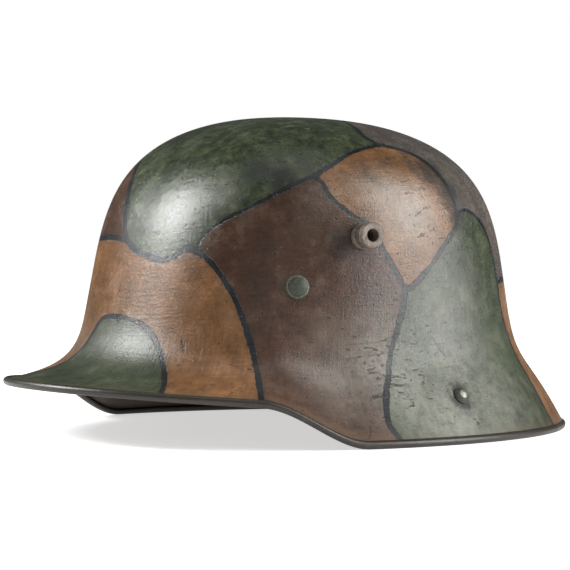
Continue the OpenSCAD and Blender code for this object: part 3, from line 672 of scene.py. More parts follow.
def makeShell():
    columns = shellMesh["columns"]
    turn = 2 * np.pi * np.arange(columns) / columns - np.pi
    rows = shellRows(turn)
    points = np.array([placed(turn, r, z) for r, z, *_ in rows])
    turns, levels = np.tile(turn, len(rows)), np.concatenate([row[2] for row in rows])
    rolled, inside = (np.repeat([row[k] for row in rows], columns).astype(float) for k in (3, 4))
    lengths = np.cumsum([np.zeros(columns), *np.linalg.norm(points[1:] - points[:-1], axis=2)], 0)
    lengths += np.hypot(rows[0][0], steel["crownZ"] - rows[0][1])
    flat, crownTop = lengths.ravel(), steel["crownZ"]
    points = np.vstack([*points, [[0, yMid, crownTop], [0, yMid, crownTop - steel["sheet"]]]])
    faces = grid(len(rows), columns)
    corners = [[(n % columns + (k in (1, 2)), flat[v]) for k, v in enumerate(face)] for n, face in enumerate(faces)]
    last, top = (len(rows) - 1) * columns, len(rows) * columns
    for i in range(columns):
        k = (i + 1) % columns
        faces += [(top, k, i), (top + 1, last + i, last + k)]
        corners += [[(i, 0), (i + 1, flat[k]), (i, flat[i])], [(i, 0), (i, 0), (i + 1, 0)]]
    gone = openVents(points, faces)
    low, high = np.array(cadBox) / mm
    points[:, :2] = np.clip(points[:, :2], low[:2], high[:2])
    shell = makeMesh("helmetShell", points, [f for n, f in enumerate(faces) if n not in gone])

    disc, spread = onDisc(turns, levels), shellMesh["wrapRadius"] * np.minimum(levels, 1)
    outer = inside == 0
    line = np.tile(noLine, (len(disc), 1))
    line[outer] = nearestLine(skin(turns, levels)[outer])
    toRim = np.maximum(lengths[shellMesh["domeRows"] + shellMesh["skirtRows"] - 1] - lengths, 0).ravel()
    wrap = np.stack([spread * np.sin(turns), -spread * np.cos(turns), flat * mm], -1)
    for name, values, atCrown in (
            ("patchColour", patchColours(disc), [paints["green"]] * 2), ("line", line, [noLine] * 2),
            ("marks", marksAt(points[:len(disc)]), [[0] * 3] * 2), ("toRim", toRim, [99, 99]),
            ("rolled", rolled, [0, 0]), ("inside", inside, [0, 1]),
            ("wrap", wrap, [[0, 0, 0], [0, 0, flat[-1] * mm]])):
        setAttribute(shell.data, name, np.concatenate([values, atCrown]))
    sheetMap = shell.data.uv_layers.new(name="sheetMap")
    flatSheet = [(shellMesh["sheetRadius"] * math.pi * (2 * i / columns - 1), s * mm)
                 for n, face in enumerate(corners) if n not in gone for i, s in face]
    sheetMap.uv.foreach_set("vector", np.array(flatSheet, np.float32).ravel())
    return shell


shellPiece = makeShell()
print("shell built", len(shellPiece.data.polygons), "faces")


# Effects that several materials share
def speckGroup():
    # Small ragged chips: cells of a given size, of which only a share holds a chip
    group, _, given, out = newGroup("specks", "Shader", dict(Place="Vector", Cells=250.0, Share=0.2, Size=0.3), "Mask")
    cell = addNode(group, "ShaderNodeTexVoronoi", {"Vector": given["Place"], "Scale": given["Cells"]}).outputs
    draw = Wire(cell["Color"]).parts("Color")
    edge = Wire(cell["Distance"]) + (given["Place"].noise(1800, 2) - 0.5) * 0.35 - given["Size"] * (draw[1] + 0.35)
    plug(out["Mask"], edge.step(-0.06, 0.04, 1, 0) * (draw[0] < given["Share"]))
    return group


def scratchGroup():
    # A straight scratch between two places on the flat sheet, in metres round and along the shell
    group, _, given, out = newGroup("scratch", "Shader", dict(Sheet="Vector", Start="Vector", End="Vector",
                                                              Width=0.0004), "Mask")
    away, way = (given[end].vector("SUBTRACT", given[start]) for end, start in (("Sheet", "Start"), ("End", "Start")))
    share = (away.vector("DOT_PRODUCT", way, "Value") / way.vector("DOT_PRODUCT", way, "Value")).clamped()
    gap = away.vector("SUBTRACT", way.scaled(share)).vector("LENGTH", output="Value")
    taper = given["Width"] * abs(share - 0.5).step(0.3, 0.5, 1, 0.35)
    rough = taper * given["Sheet"].noise(900, 3).step(0.3, 0.7, 0.4, 1.5)
    plug(out["Mask"], (1.0 - gap / rough).clamped())
    return group


def leatherGroup():
    # Pebbled grain with fine creases, and a slow mottle
    group, _, given, out = newGroup("leather", "Shader", dict(Place="Vector", Pebbles=900.0, Creases=60.0),
                                    "Height", "Creased", "Mottle")
    place = given["Place"]
    cells = place.into("ShaderNodeTexVoronoi", "Vector", {"Scale": given["Pebbles"]}, "Distance",
                       feature="DISTANCE_TO_EDGE")
    crease = abs(place.noise(given["Creases"], 3.0, 0.5, 0.5) - 0.5).step(0.0, 0.024, 1, 0)
    crease = crease * place.noise(42, 3).step(0.5, 0.64)
    plug(out["Height"], cells.step(0.0, 0.25) - crease * 0.9)
    plug(out["Creased"], crease)
    plug(out["Mottle"], place.noise(35, 4, 0.6))
    return group


def agedGroup():
    # Rust, grime and pits on bare or thinly painted steel
    group, _, given, out = newGroup("agedSteel", "Shader", dict(Place="Vector", Rust=0.5, Pitting=0.3),
                                    "Rusty", "Pits", "Tone")
    place, low = given["Place"], 0.78 - given["Rust"] * 0.5
    pits = place.into("ShaderNodeTexVoronoi", "Vector", {"Scale": 2300.0}, "Distance")
    where = place.noise(260) + given["Pitting"] * 0.25
    plug(out["Rusty"], place.noise(170, 6, 0.68).step(low, low + 0.16))
    plug(out["Pits"], pits.step(0.05, 0.4, 1, 0) * where.step(0.58, 0.76))
    plug(out["Tone"], place.noise(60, 4))
    return group


specks, scratch, leatherLook, agedSteel = speckGroup(), scratchGroup(), leatherGroup(), agedGroup()

camouflage = dict(
    line=srgb(20, 24, 27), lineWorn=srgb(40, 45, 47), smudgeAndShade=srgb(33, 34, 33), chip=srgb(30, 25, 22),
    haze=srgb(150, 150, 138), moss=srgb(92, 98, 62), deep=srgb(30, 37, 26), dust=srgb(112, 88, 66),
    edge=srgb(46, 41, 36), worn=srgb(100, 95, 86), inside=srgb(74, 64, 54), insideRust=srgb(80, 54, 36),
    roughness=0.26, dullLow=0.12, lineWobble=(1.6, 2.2), rimWidth=7.0,
    specks=((170.0, 0.09, 0.14), (560.0, 0.09, 0.26), (420.0, 0.02, 0.1)),  # chips, dots, pale: cells, share, size
    dents=0.0012, brush=0.00012, peel=0.00018, pits=-0.0001,  # depths in metres
    scratches=[  # degrees and level at both ends, width in mm, depth of tone (below 0: a pale scuff)
        ((55, 0.235), (61, 0.217), 0.6, -0.8), ((66, 0.25), (69, 0.26), 0.7, -0.8),
        ((115, 0.71), (111, 0.66), 0.5, -0.5), ((105.4, 1.247), (109.2, 1.449), 0.6, 0.95),
        ((74.2, 1.282), (91.3, 1.27), 0.45, 0.6), ((96.3, 1.331), (118.3, 1.272), 0.4, 0.5),
        ((72.3, 1.401), (90, 1.366), 0.4, 0.55), ((27.2, 1.277), (28.6, 1.427), 0.9, 0.95),
        ((77.3, 1.909), (76.6, 1.964), 0.6, 0.8), ((23.7, 0.535), (33.6, 0.552), 0.5, 0.6),
        ((33.4, 0.63), (33.9, 0.72), 0.6, 0.7), ((-35, 1.2), (-41, 1.45), 0.5, 0.7),
        ((-120, 1.1), (-131, 1.3), 0.45, 0.7), ((160, 0.5), (171, 0.62), 0.4, 0.6)],
)


def sheetPlace(degrees, level):
    # Where a place on the shell lies on its flat sheet, in metres
    turn = math.radians(degrees)
    run = skin(np.full(200, turn), np.linspace(0, level, 200))
    return (shellMesh["sheetRadius"] * turn, float(np.linalg.norm(np.diff(run, axis=0), axis=1).sum()) * mm, 0)


def layered(colour, *layers):
    # Each layer is a mask and the tone that shows where the mask is 1
    for mask, tone in layers:
        colour = mask.mix(colour, tone)
    return colour


def camouflagePaint():
    look = camouflage
    material, place = newMaterial("camouflagePaint")
    wrap = place.read("wrap", "Vector")
    sheet = Wire(addNode(place.tree, "ShaderNodeUVMap", uv_map="sheetMap").outputs[0])
    smearsAndShade, paler, dashes = place.read("marks", "Vector").parts()
    cloud, fine = place.noise(15, 4, 0.6), place.noise(75, 5, 0.62)
    flecks, grain = place.noise(170, 6, 0.74), place.noise(850, 4, 0.7)
    downwards = wrap.stretch(1, 1, 0.12).noise(620, 4, 0.65, 0.4)
    sideways = wrap.stretch(0.1, 0.1, 1).noise(520, 4, 0.65, 0.4)

    # Brushed coats: slow clouds, fine strokes both ways, and moss and soot tones in the green; some of the soot is
    # painted shade
    paint = place.read("patchColour", "Color")
    colour = cloud.step(0.3, 0.7, 0.8, 1.2).tint(paint)
    for texture, spread in ((fine, 0.2), (flecks, 0.16), (downwards, 0.13), (sideways, 0.1), (grain, 0.1)):
        colour = texture.step(0.32, 0.68, 1 - spread, 1 + spread).tint(colour)
    red, green, _ = paint.parts("Color")
    isGreen, height = (green - red).step(0.0, 0.006), place.parts()[2]
    mottled = isGreen * height.step(0.08, 0.125, 0.3, 1)
    # Soot and grime smudges, and painted shade beside the vent lugs and low on the ear
    sootAndShade = (smearsAndShade + place.noise(150, 7, 0.8) * 2.2).step(1.25, 1.85) * smearsAndShade.step(0.06, 0.5, 0, 0.85)
    dusty = (place.read("toRim") + (fine - 0.5) * 6.0).step(1.0, look["rimWidth"], 0.5, 0) * (1.0 - isGreen * 0.75)
    colour = layered(
        colour, (mottled * flecks.step(0.5, 0.66, 0, 0.5), look["moss"]),
        (mottled * place.noise(150, 7, 0.78).step(0.34, 0.56, 0.85, 0), look["deep"]),
        (fine.step(0.5, 0.75, 0, 0.1), look["haze"]), (paler * flecks.step(0.3, 0.6, 0.35, 1), look["haze"]),
        (sootAndShade, look["smudgeAndShade"]), (dusty, look["dust"]))

    # The dark lines between the patches, drawn by hand
    away, sided, half = place.read("line", "Vector").parts()
    gap = away + (away < 1.7) * (abs(sided) - away)
    slow, quick = look["lineWobble"]
    hand = (place.noise(70, 2) - 0.5) * slow + (place.noise(560, 5, 0.75) - 0.5) * quick
    edge = gap - half + hand
    painted = edge.step(-0.2, 0.16, 1, 0)
    worn = place.noise(130, 6, 0.7).step(0.28, 0.46, 0.72, 1)
    halo = edge.step(0, 3.2, 0.3, 0) * place.noise(95, 5, 0.7).step(0.42, 0.66)
    lineColour = fine.step(0.42, 0.66).mix(look["line"], look["lineWorn"])
    colour = layered(colour, (halo, look["line"]), (painted * worn, lineColour))

    # Chips, dots, short strokes and scratches
    chips, dots, pale = (where.through(specks, Cells=cells, Share=share, Size=size)["Mask"]
                         for where, (cells, share, size) in zip((place, place, wrap), look["specks"]))
    strokes = (wrap.stretch(0.3, 0.3, 1).noise(520, 3, 0.6, 0.5) + dashes * 0.16).step(0.68, 0.72)
    colour = layered(colour, (strokes * 0.85, look["chip"]), ((chips | dots) * 0.8, look["chip"]),
                     (pale * 0.6, look["haze"]))
    for start, end, width, depth in look["scratches"]:
        mark = sheet.through(scratch, Start=sheetPlace(*start), End=sheetPlace(*end), Width=width * mm)["Mask"]
        colour = layered(colour, (mark * abs(depth), look["chip"] if depth > 0 else look["haze"]))

    # The rubbed rim and the bare inside
    rolled, inside = place.read("rolled"), place.read("inside")
    rubbed = rolled * wrap.stretch(0.5, 0.5, 1).noise(120, 6, 0.65).step(0.54, 0.68)
    within = place.noise(48, 6, 0.7).step(0.5, 0.68, 0, 0.8).mix(look["inside"], look["insideRust"])
    colour = layered(colour, (rolled * 0.92, look["edge"]), (rubbed * 0.5, look["worn"]), (inside, within))

    satin = (fine - 0.5) * 0.16 + look["roughness"] + (inside | chips | sootAndShade) * 0.2
    satin = satin + height.step(0.045, 0.065, look["dullLow"], 0)
    relief = (rolled | inside).step(0, 1, 1, 0.35)
    normal = place.noise(13, 2).bump(look["dents"])
    normal = (downwards + (sideways + painted * 0.5)).bump(look["brush"], normal, relief)
    normal = (chips | dots | strokes).bump(look["pits"], grain.bump(look["peel"], normal, relief))
    return dress(material, colour=colour, roughness=satin, metallic=rubbed * 0.5, normal=normal,
                 specular=sootAndShade.step(0, 1, 0.5, 0.3))


finish(shellPiece, "helmet", "shell", camouflagePaint())
print("shell painted")


# Steel pieces on the shell
def rounded(profile, cut, steps=4):
    # Eases each corner of a profile. A third value says whether a point is on an outer (1) or an inner (-1) corner
    closed = profile[0] == profile[-1]
    points = [Vector(p) for p in (profile[:-1] if closed else profile)]
    result = []
    for i, corner in enumerate(points):
        if not closed and i in (0, len(points) - 1):
            result.append((*corner, 0))
            continue
        before, after = points[i - 1] - corner, points[(i + 1) % len(points)] - corner
        room = min(cut, before.length * 0.45, after.length * 0.45)
        start, end = corner + before.normalized() * room, corner + after.normalized() * room
        bend = (-before).cross(after)
        for k in range(steps + 1):
            v = k / steps
            spot = start * (1 - v) ** 2 + corner * 2 * v * (1 - v) + end * v * v
            result.append((*spot, math.copysign(4 * v * (1 - v), bend)))
    return result + result[:1] if closed else result


def turnedPair(name, node, spot, profile, material):
    # A piece turned on a lathe, on both sides of the shell
    for side, sign in sides.items():
        piece = lathe(f"{name}_{side}", profile, onShell(sign * spot["degrees"], spot["height"]))
        finish(piece, "helmet", f"{node}_{side}", material)


# Tones of the paint, of the bare steel and of its rust, and how far each has gone
agedLooks = dict(
    wornLugPaint=dict(paint=(120, 108, 97), bare=(210, 202, 190), rusted=(84, 56, 42), rust=0.5, wearAndGlint=2.0,
                      roughness=0.36, pitting=1.7, mottle=0.8),
    pinPaint=dict(paint=(52, 58, 45), bare=(124, 126, 110), rusted=(70, 60, 44), rust=0.3, wearAndGlint=0.47, roughness=0.44,
                  pitting=1.3, mottle=0.6),
    rivetPaint=dict(paint=(64, 66, 56), bare=(150, 152, 138), rusted=(70, 54, 40), rust=0.3, wearAndGlint=1.3, roughness=0.52,
                    pitting=0.8, mottle=0.4),
    plateSteel=dict(paint=(112, 108, 100), bare=(150, 146, 138), rust=0.6, wearAndGlint=0.6, roughness=0.42, metallic=0.8),
    rivetSteel=dict(paint=(132, 124, 108), bare=(176, 168, 150), rust=0.4, wearAndGlint=0.8, roughness=0.36, metallic=0.85),
    buckleSteel=dict(paint=(120, 116, 106), bare=(172, 168, 158), rust=0.45, wearAndGlint=0.7, roughness=0.34, metallic=0.85),
)


def agedPaint(name):
    # Paint or bare steel with rubbed outer corners, rust and pits. The inner corners are darkened as painted shade, and
    # the paler rubbed corners also stand as painted highlights along the edges
    look = {**dict(rusted=(86, 54, 34), dirt=(34, 28, 24), metallic=0.0, pitting=0.3, mottle=0.0), **agedLooks[name]}
    paint, bare, rusted, dirt = (srgb(*tone) for tone in pick(look, "paint bare rusted dirt"))
    material, place = newMaterial(name)
    aged = place.through(agedSteel, Rust=look["rust"], Pitting=look["pitting"])
    corner, coarse = place.read("corner"), place.noise(900, 4, 0.75)
    # Rubbed outer corners: worn to bare steel, and also painted highlights along the edges
    rubbed = ((corner | 0.0) * look["wearAndGlint"] + aged["Tone"] * 0.9).step(0.75, 1.0)
    # Inner corners darkened: painted shade
    cornerShade = (corner * -1.0 | 0.0) * 0.8
    colour = rubbed.mix(aged["Tone"].step(0.3, 0.7, 0.82, 1.15).tint(paint), bare)
    colour = coarse.step(0.45, 0.6, 1, 1 + 0.5 * look["mottle"]).tint(colour)
    colour = layered(colour, (coarse.step(0.38, 0.45, look["mottle"], 0), dirt), (aged["Rusty"] * 0.85, rusted),
                     ((aged["Pits"] | cornerShade) * 0.7, dirt))
    uneven = coarse.bump(0.0003 * look["mottle"], place.noise(420, 5, 0.65).bump(0.00012))
    return dress(material, colour=colour, roughness=aged["Rusty"] * 0.3 + look["roughness"],
                 metallic=(rubbed | look["metallic"]) * (1.0 - aged["Rusty"]) * 0.8,
                 normal=aged["Pits"].bump(-0.0001, uneven))


lug = dict(out=10.4, radius=6.6, neck=4.9, shank=4.3, bore=3.1, seat=0.15, head=2.6, flare=1.2, soften=0.35, dirt=-0.75)


def lugProfile():
    out, r, neck, shank, bore, seat = pick(lug, "out radius neck shank bore seat")
    head, ledge, flared, grip = out - lug["head"], (r + neck) / 2, shank + lug["flare"], steel["sheet"] + 0.5
    profile = [(bore, out), (r - 0.6, out), (r, out - 0.6), (r, head + 0.3), (r - 0.3, head), (neck, head - 0.6),
               (neck, head - 1.9), (ledge, head - 2.1), (ledge, 2.9), (r - 0.6, 2.6), (r, 2), (r, seat), (shank, seat),
               (shank, -grip), (flared, -grip - 0.4), (flared, -grip - 1), (bore, -grip - 1), (bore, out)]
    # Painted shade lies in the neck between the two rings, under the head
    return [(x, z, lug["dirt"] if x < r - 0.4 and 2.3 < z < head else c)
            for x, z, c in rounded(profile, lug["soften"])]


turnedPair("ventLug", "vent_lug", ventHole, lugProfile(), agedPaint("wornLugPaint"))

band = dict(low=63, high=ventHole["height"] - lug["shank"] - lug["flare"] - 1, gap=0.6, thick=3, columns=240,
            faceRows=6, soften=1.0)
bandOut = steel["sheet"] + band["gap"]
bandIn = bandOut + band["thick"]
pin = dict(degrees=59.3, height=77, headRadius=5.9, headHeight=1.8, shank=1.8, prongLength=9, prongWidth=3.2,
           prongHeight=0.9, plate=0.8, plateDepth=bandIn + 0.9, seat=0.15, groove=4.6, pressed=0.16, edge=5.7)
liners = dict(front_left=pin["degrees"], front_right=-pin["degrees"], rear=180)


def slab(thickness, width, radius, grooves=()):
    # A rounded rectangle for a strip's section, as (across the thickness, along the width)
    half, high = thickness / 2 - radius, width / 2 - radius
    loop = [(cu + radius * math.cos(math.radians(start + a)), cv + radius * math.sin(math.radians(start + a)))
            for cu, cv, start in ((half, high, 0), (-half, high, 90), (-half, -high, 180), (half, -high, 270))
            for a in (0, 30, 60, 90)]
    for inset, wide, deep in grooves:  # a pressed line near each edge, on both faces
        cut = [(sign * (thickness / 2 - sink), v * (width / 2 - inset) + off) for sign in (1, -1) for v in (1, -1)
               for sink, off in ((0, wide / 2), (deep, 0), (0, -wide / 2))]
        left = sorted((p for p in cut if p[0] < 0), key=lambda p: -p[1])
        right = sorted((p for p in cut if p[0] > 0), key=lambda p: p[1])
        loop = loop[:8] + left + loop[8:] + right
    return loop


def strip(name, path, section, across, place, soft=0.5, width=None):
    # Sweeps a section along a path in a plane, with its two ends rounded off. across is the plane's normal
    path, across = [Vector(p) for p in path], Vector(across)
    lengths = np.cumsum([0] + [(b - a).length for a, b in zip(path, path[1:])])
    half = max(abs(u) for u, _ in section), max(abs(v) for _, v in section)
    ends = [(soft * (1 - math.cos(math.radians(a))), soft * (1 - math.sin(math.radians(a)))) for a in (0, 30, 60, 90)]
    stations = ends + [(s, 0) for s in lengths if soft < s < lengths[-1] - soft]
    stations += [(lengths[-1] - run, inset) for run, inset in reversed(ends)]
    points = []
    for run, inset in stations:
        k = int(np.clip(np.searchsorted(lengths, run) - 1, 0, len(path) - 2))
        share = (run - lengths[k]) / (lengths[k + 1] - lengths[k])
        before = path[k + 1] - path[max(k - 1, 0)]
        after = path[min(k + 2, len(path) - 1)] - path[k]
        spot, way = path[k].lerp(path[k + 1], share), before.normalized().lerp(after.normalized(), share).normalized()
        side, scale = way.cross(across), width(run / lengths[-1]) if width else 1.0
        points += [spot + side * u * (1 - inset / half[0]) + across * v * scale * (1 - inset / half[1])
                   for u, v in section]
    count = len(section)
    caps = [tuple(range(count))[::-1], tuple((len(stations) - 1) * count + i for i in range(count))]
    piece = makeMesh(name, points, grid(len(stations), count) + caps)
    rebuild(piece.data, [piece.data], faceOut)
    piece.data.transform(place)
    return piece


def makePin(name, degrees, material):
    r, h, seat, shank, groove, pressed, edge = pick(pin, "headRadius headHeight seat shank groove pressed edge")
    place, top, reach = onShell(degrees, pin["height"]), seat + h, pin["plateDepth"] + pin["plate"] + pin["prongHeight"]
    ball = (r ** 2 + h ** 2) / (2 * h)
    dome = [(ball * math.sin(a), top - ball + ball * math.cos(a)) for a in np.linspace(0, math.asin(r / ball), 14)]
    dome = [(0, top), *dome[1:-1], (r - 0.12, seat + 0.32), (r, seat)]
    even = (np.interp(np.linspace(0, 1, 60), np.linspace(0, 1, len(dome)), c) for c in zip(*dome))
    # A pressed groove round the head, worn on its outer side and at the head's edge; the paler wear there is also a
    # painted highlight
    ridge = [(x, z - pressed * math.exp(-((x - groove) / 0.28) ** 2),
              math.exp(-((x - groove - 0.55) / 0.3) ** 2) + (x > edge)) for x, z in zip(*even)]
    parts = [lathe("head", ridge + [(shank, seat, 0), (shank, 0.2 - reach, 0), (0, -reach, 0)], place)]
    for side in sides.values():
        bend = [(0, side * 0.1, -reach + 3), (0, side * 0.35, -reach + 1.4), (0, side * 0.9, -reach + 0.65)]
        bend += [(0, side * y, -reach + 0.45) for y in np.linspace(1.7, pin["prongLength"], 8)]
        parts.append(strip("prong", bend, slab(pin["prongHeight"], pin["prongWidth"], 0.25), (1, 0, 0), place, 0.3,
                           lambda share: 1 - 0.5 * (max(share - 0.7, 0) / 0.3) ** 2))
    finish(joined(f"linerPin_{name}", parts), "helmet", f"liner_pin_{name}", material)


pinPaint = agedPaint("pinPaint")
for name, degrees in liners.items():
    makePin(name, degrees, pinPaint)

rivet = dict(degrees=108.4, height=22.75, radius=4.4, rise=2.9, shank=2.2, seat=0.3, depth=steel["sheet"] + 3.4)


def rivetProfile():
    r, h, seat, shank, depth = pick(rivet, "radius rise seat shank depth")
    profile = [(0, h), (0.7, h), (0.45 * r, 0.85 * h), (0.8 * r, 0.5 * h), (0.95 * r, 0.27 * h), (r, seat + 0.2),
               (r, seat), (shank, seat), (shank, -depth), (0, -depth)]
    return [(x, z, 1.0 if z > 0.8 * h else 0.0) for x, z, _ in rounded(profile, 0.4)]


turnedPair("chinstrapRivet", "chinstrap_rivet", rivet, rivetProfile(), agedPaint("rivetPaint"))
print("lugs, pins and rivets made")


def fromNode(node, name, body, material, width):
    # The CAD solid with its flat faces joined up and its edges eased
    def flatten(mesh):
        bmesh.ops.dissolve_limit(mesh, angle_limit=math.radians(1), verts=mesh.verts, edges=mesh.edges)

    piece = link(name, rebuild(bpy.data.meshes.new(name), [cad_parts[node].data], weld(1e-6), flatten))
    bevelled(piece, width, 40)
    finish(piece, body, node, material)


plateSteel = agedPaint("plateSteel")
fromNode("pin_plates", "pinPlates", "helmet", plateSteel, 0.2)
for side in sides:
    fromNode(f"chinstrap_post_{side}", f"chinstrapPost_{side}", "helmet", plateSteel, 0.25)
    fromNode(f"strap_end_{side}", f"strapEnd_{side}", "strap", plateSteel, 0.3)

# Leather: its tones, the size of its grain and its gloss
hides = dict(
    bandLeather=dict(dark=(70, 44, 27), light=(104, 68, 42), worn=(150, 112, 78), pebbles=800.0, roughness=0.5),
    padLeather=dict(dark=(92, 60, 36), light=(134, 92, 58), worn=(150, 112, 78), pebbles=650.0, roughness=0.52),
    strapLeather=dict(dark=(58, 36, 23), light=(88, 56, 34), worn=(124, 88, 58), pebbles=1000.0, roughness=0.45),
)


def leather(name):
    look = {"dirt": (38, 24, 15), **hides[name]}
    dark, light, worn, dirt = (srgb(*tone) for tone in pick(look, "dark light worn dirt"))
    material, place = newMaterial(name)
    hide = place.through(leatherLook, Pebbles=look["pebbles"], Creases=70.0)
    rubbed = place.noise(90, 6, 0.7).step(0.56, 0.72) * 0.5
    # The creases are darkened: dirt, and painted shade
    colour = layered(hide["Mottle"].step(0.35, 0.65).mix(dark, light), (rubbed, worn), (hide["Creased"] * 0.3, dirt))
    return dress(material, colour=colour, roughness=hide["Mottle"] * 0.25 + look["roughness"],
                 normal=hide["Height"].bump(0.00012), specular=0.4)


wallSteps = dict(turns=720, levels=1500, heights=np.linspace(0, 160, 641))


def measureWall():
    # The outer face's radius at every half degree and quarter millimetre of height
    levels = np.linspace(0.001, 2, wallSteps["levels"])
    table = []
    for turn in np.linspace(-math.pi, math.pi, wallSteps["turns"] + 1):
        r, z = sectionAt(np.full_like(levels, turn), levels)
        table.append(np.interp(-wallSteps["heights"], -z, r))
    return np.array(table)


wallTable = measureWall()


def wallRadius(turn, heights):
    spot = (math.remainder(turn, 2 * math.pi) / (2 * math.pi) + 0.5) * wallSteps["turns"]
    k = min(int(spot), wallSteps["turns"] - 1)
    low, high = (np.interp(heights, wallSteps["heights"], wallTable[i]) for i in (k, k + 1))
    return low + (high - low) * (spot - k)


def makeBand(material):
    # One hoop of leather whose section follows the wall, with softened edges
    tall, middle = (band["high"] - band["low"]) / 2, (band["high"] + band["low"]) / 2
    ring = [(bandOut + band["thick"] / 2 - u, middle + math.copysign(tall - band["soften"] * (1 - abs(v)), v))
            for u, v in slab(band["thick"], 2, band["soften"] * 0.9)]
    section = []
    for (i0, z0), (i1, z1) in zip(ring, ring[1:] + ring[:1]):
        count = band["faceRows"] if abs(z1 - z0) > 5 else 1
        section += [(i0 + (i1 - i0) * k / count, z0 + (z1 - z0) * k / count) for k in range(count)]
    points = []
    for i in range(band["columns"]):
        turn = 2 * math.pi * i / band["columns"]
        radii = wallRadius(turn, [z for _, z in section])
        points += [placed(turn, r - inset, z) for r, (inset, z) in zip(radii, section)]
    piece = makeMesh("linerBand", points, grid(band["columns"], len(section), True))
    rebuild(piece.data, [piece.data], faceOut)
    finish(piece, "helmet", "liner_band", material)


makeBand(leather("bandLeather"))

pad = dict(thick=1.8, half=56, low=64, tongue=138, headLow=80, headInset=19.5, free=36, slot=4, slotTop=20, lace=2.2,
           laceAt=0.93, rows=46, columns=22, lean=0.03, turnIn=0.24, narrow=0.1, gap=0.3, slotFrom=0.38, arch=0.14,
           seams=(0.035, 0.075), seamHalf=0.96, seamSink=0.12)
padTall = pad["tongue"] - pad["low"]
slotLow = pad["low"] + padTall * pad["slotFrom"]


def padFace(turn, b):
    # Radius and height of a pad's inner face
    z = pad["low"] + padTall * b
    wall = wallRadius(turn, [z, pad["headLow"]])
    full = wall[1] - pad["headInset"]
    share = (pad["tongue"] - pad["headLow"]) / math.sqrt(1 - (pad["free"] / full) ** 2)
    head = full * math.sqrt(1 - (max(z - pad["headLow"], 0) / share) ** 2)
    near = wall[0] - bandIn - pad["gap"] - pad["thick"]
    return np.array([near + (head - near) * ease(min(max((b - pad["lean"]) / pad["turnIn"], 0), 1)), z])


def padPoint(turn, b, depth=0.0):
    face = padFace(turn, b)
    way = padFace(turn, b + 0.01) - padFace(turn, b - 0.01)
    out = np.array([way[1], -way[0]]) / np.linalg.norm(way)
    return placed(turn, *(face + depth * out))


def padTurn(a, b):
    return math.radians(a * pad["half"] * (1 - pad["narrow"] * b))


def slotHalf(z):
    if z < slotLow:
        return math.sqrt(max((pad["slot"] / 2) ** 2 - (slotLow - z) ** 2, 0))
    return (pad["slot"] + (pad["slotTop"] - pad["slot"]) * (z - slotLow) / (pad["tongue"] + 8 - slotLow)) / 2


def makePad(name, degrees, material):
    middle, n, rows = math.radians(degrees), pad["columns"], pad["rows"]
    points, faces = [], []
    for side in (-1, 1):
        start = len(points)
        for j in range(rows + 1):
            inner = math.degrees(math.asin(slotHalf(pad["low"] + padTall * j / rows) / padFace(middle, j / rows)[0]))
            inner /= pad["half"] * (1 - pad["narrow"] * j / rows)
            for i in range(n + 1):
                a = side * (inner + (1 - inner) * i / n)
                b = j / rows * (1 - pad["arch"] * abs(2 * abs(a) - 1) ** 2.5)
                points.append(padPoint(middle + padTurn(a, b), b))
        faces += [tuple(start + k for k in face[::-side]) for face in grid(rows + 1, n + 1, roundRow=False)]
    points = np.array(points)
    centres, gone = points[np.array(faces)].mean(1), set()
    for a in (-0.5, 0.5):
        # The faces round a lace hole's middle go, and their edge is drawn to a circle
        hole = padPoint(middle + padTurn(a, pad["laceAt"]), pad["laceAt"])
        near = set(np.flatnonzero(np.linalg.norm(centres - hole, axis=1) < 1.2 * pad["lace"]).tolist())
        edge = {v for k in near for v in faces[k]} & {v for k, f in enumerate(faces) if k not in near for v in f}
        for v in edge:
            points[v] = hole + (points[v] - hole) * pad["lace"] / np.linalg.norm(points[v] - hole)
        gone |= near
    piece = makeMesh("pad_" + name, points, [f for k, f in enumerate(faces) if k not in gone])

    def dropLoose(mesh):
        bmesh.ops.delete(mesh, geom=[v for v in mesh.verts if not v.link_faces], context="VERTS")

    rebuild(piece.data, [piece.data], weld(1e-5), dropLoose)
    wall = piece.modifiers.new("leather", "SOLIDIFY")
    wall.thickness, wall.offset, wall.use_even_offset = pad["thick"] * mm, -1, True
    bevelled(piece, 0.5, 60)
    finish(piece, "helmet", "pad_" + name, material)


padLeather = leather("padLeather")
for name, degrees in liners.items():
    makePad(name, degrees, padLeather)
print("leather band and pads made")


# Stitches and strap rivets, by Geometry Nodes
def realized(spread, given):
    return spread.into("GeometryNodeRealizeInstances").into("GeometryNodeSetMaterial", "Geometry",
                                                            {"Material": given["Material"]})


def stitchTree():
    tree, names, given, out = newGroup("stitches", "Geometry", dict(
        Geometry="Geometry", Spacing=0.004, Length=0.003, Thickness=0.0008, Seed=3, Material="Material"), "Geometry")
    size = given["Length"].into("ShaderNodeCombineXYZ", 0, {1: given["Thickness"], 2: given["Thickness"]})
    bead = addNode(tree, "GeometryNodeMeshUVSphere", {"Segments": 8, "Rings": 6, "Radius": 0.5}).outputs[0]
    stitch = Wire(bead).into("GeometryNodeTransform", "Geometry", {"Scale": size})
    way = Wire(addNode(tree, "GeometryNodeInputTangent").outputs[0])
    along = way.into("FunctionNodeAlignRotationToVector", "Vector", axis="X")
    vary = given["Seed"].into("FunctionNodeRandomValue", "Seed", {2: 0.85, 3: 1.1}, 1, data_type="FLOAT")
    even = given["Geometry"].into("GeometryNodeMeshToCurve").into(
        "GeometryNodeResampleCurve", "Curve", {"Length": given["Spacing"]}, mode="LENGTH")
    spread = even.into("GeometryNodeInstanceOnPoints", "Points", {"Instance": stitch, "Rotation": along, "Scale": vary})
    plug(out[0], realized(spread, given))
    return tree, names


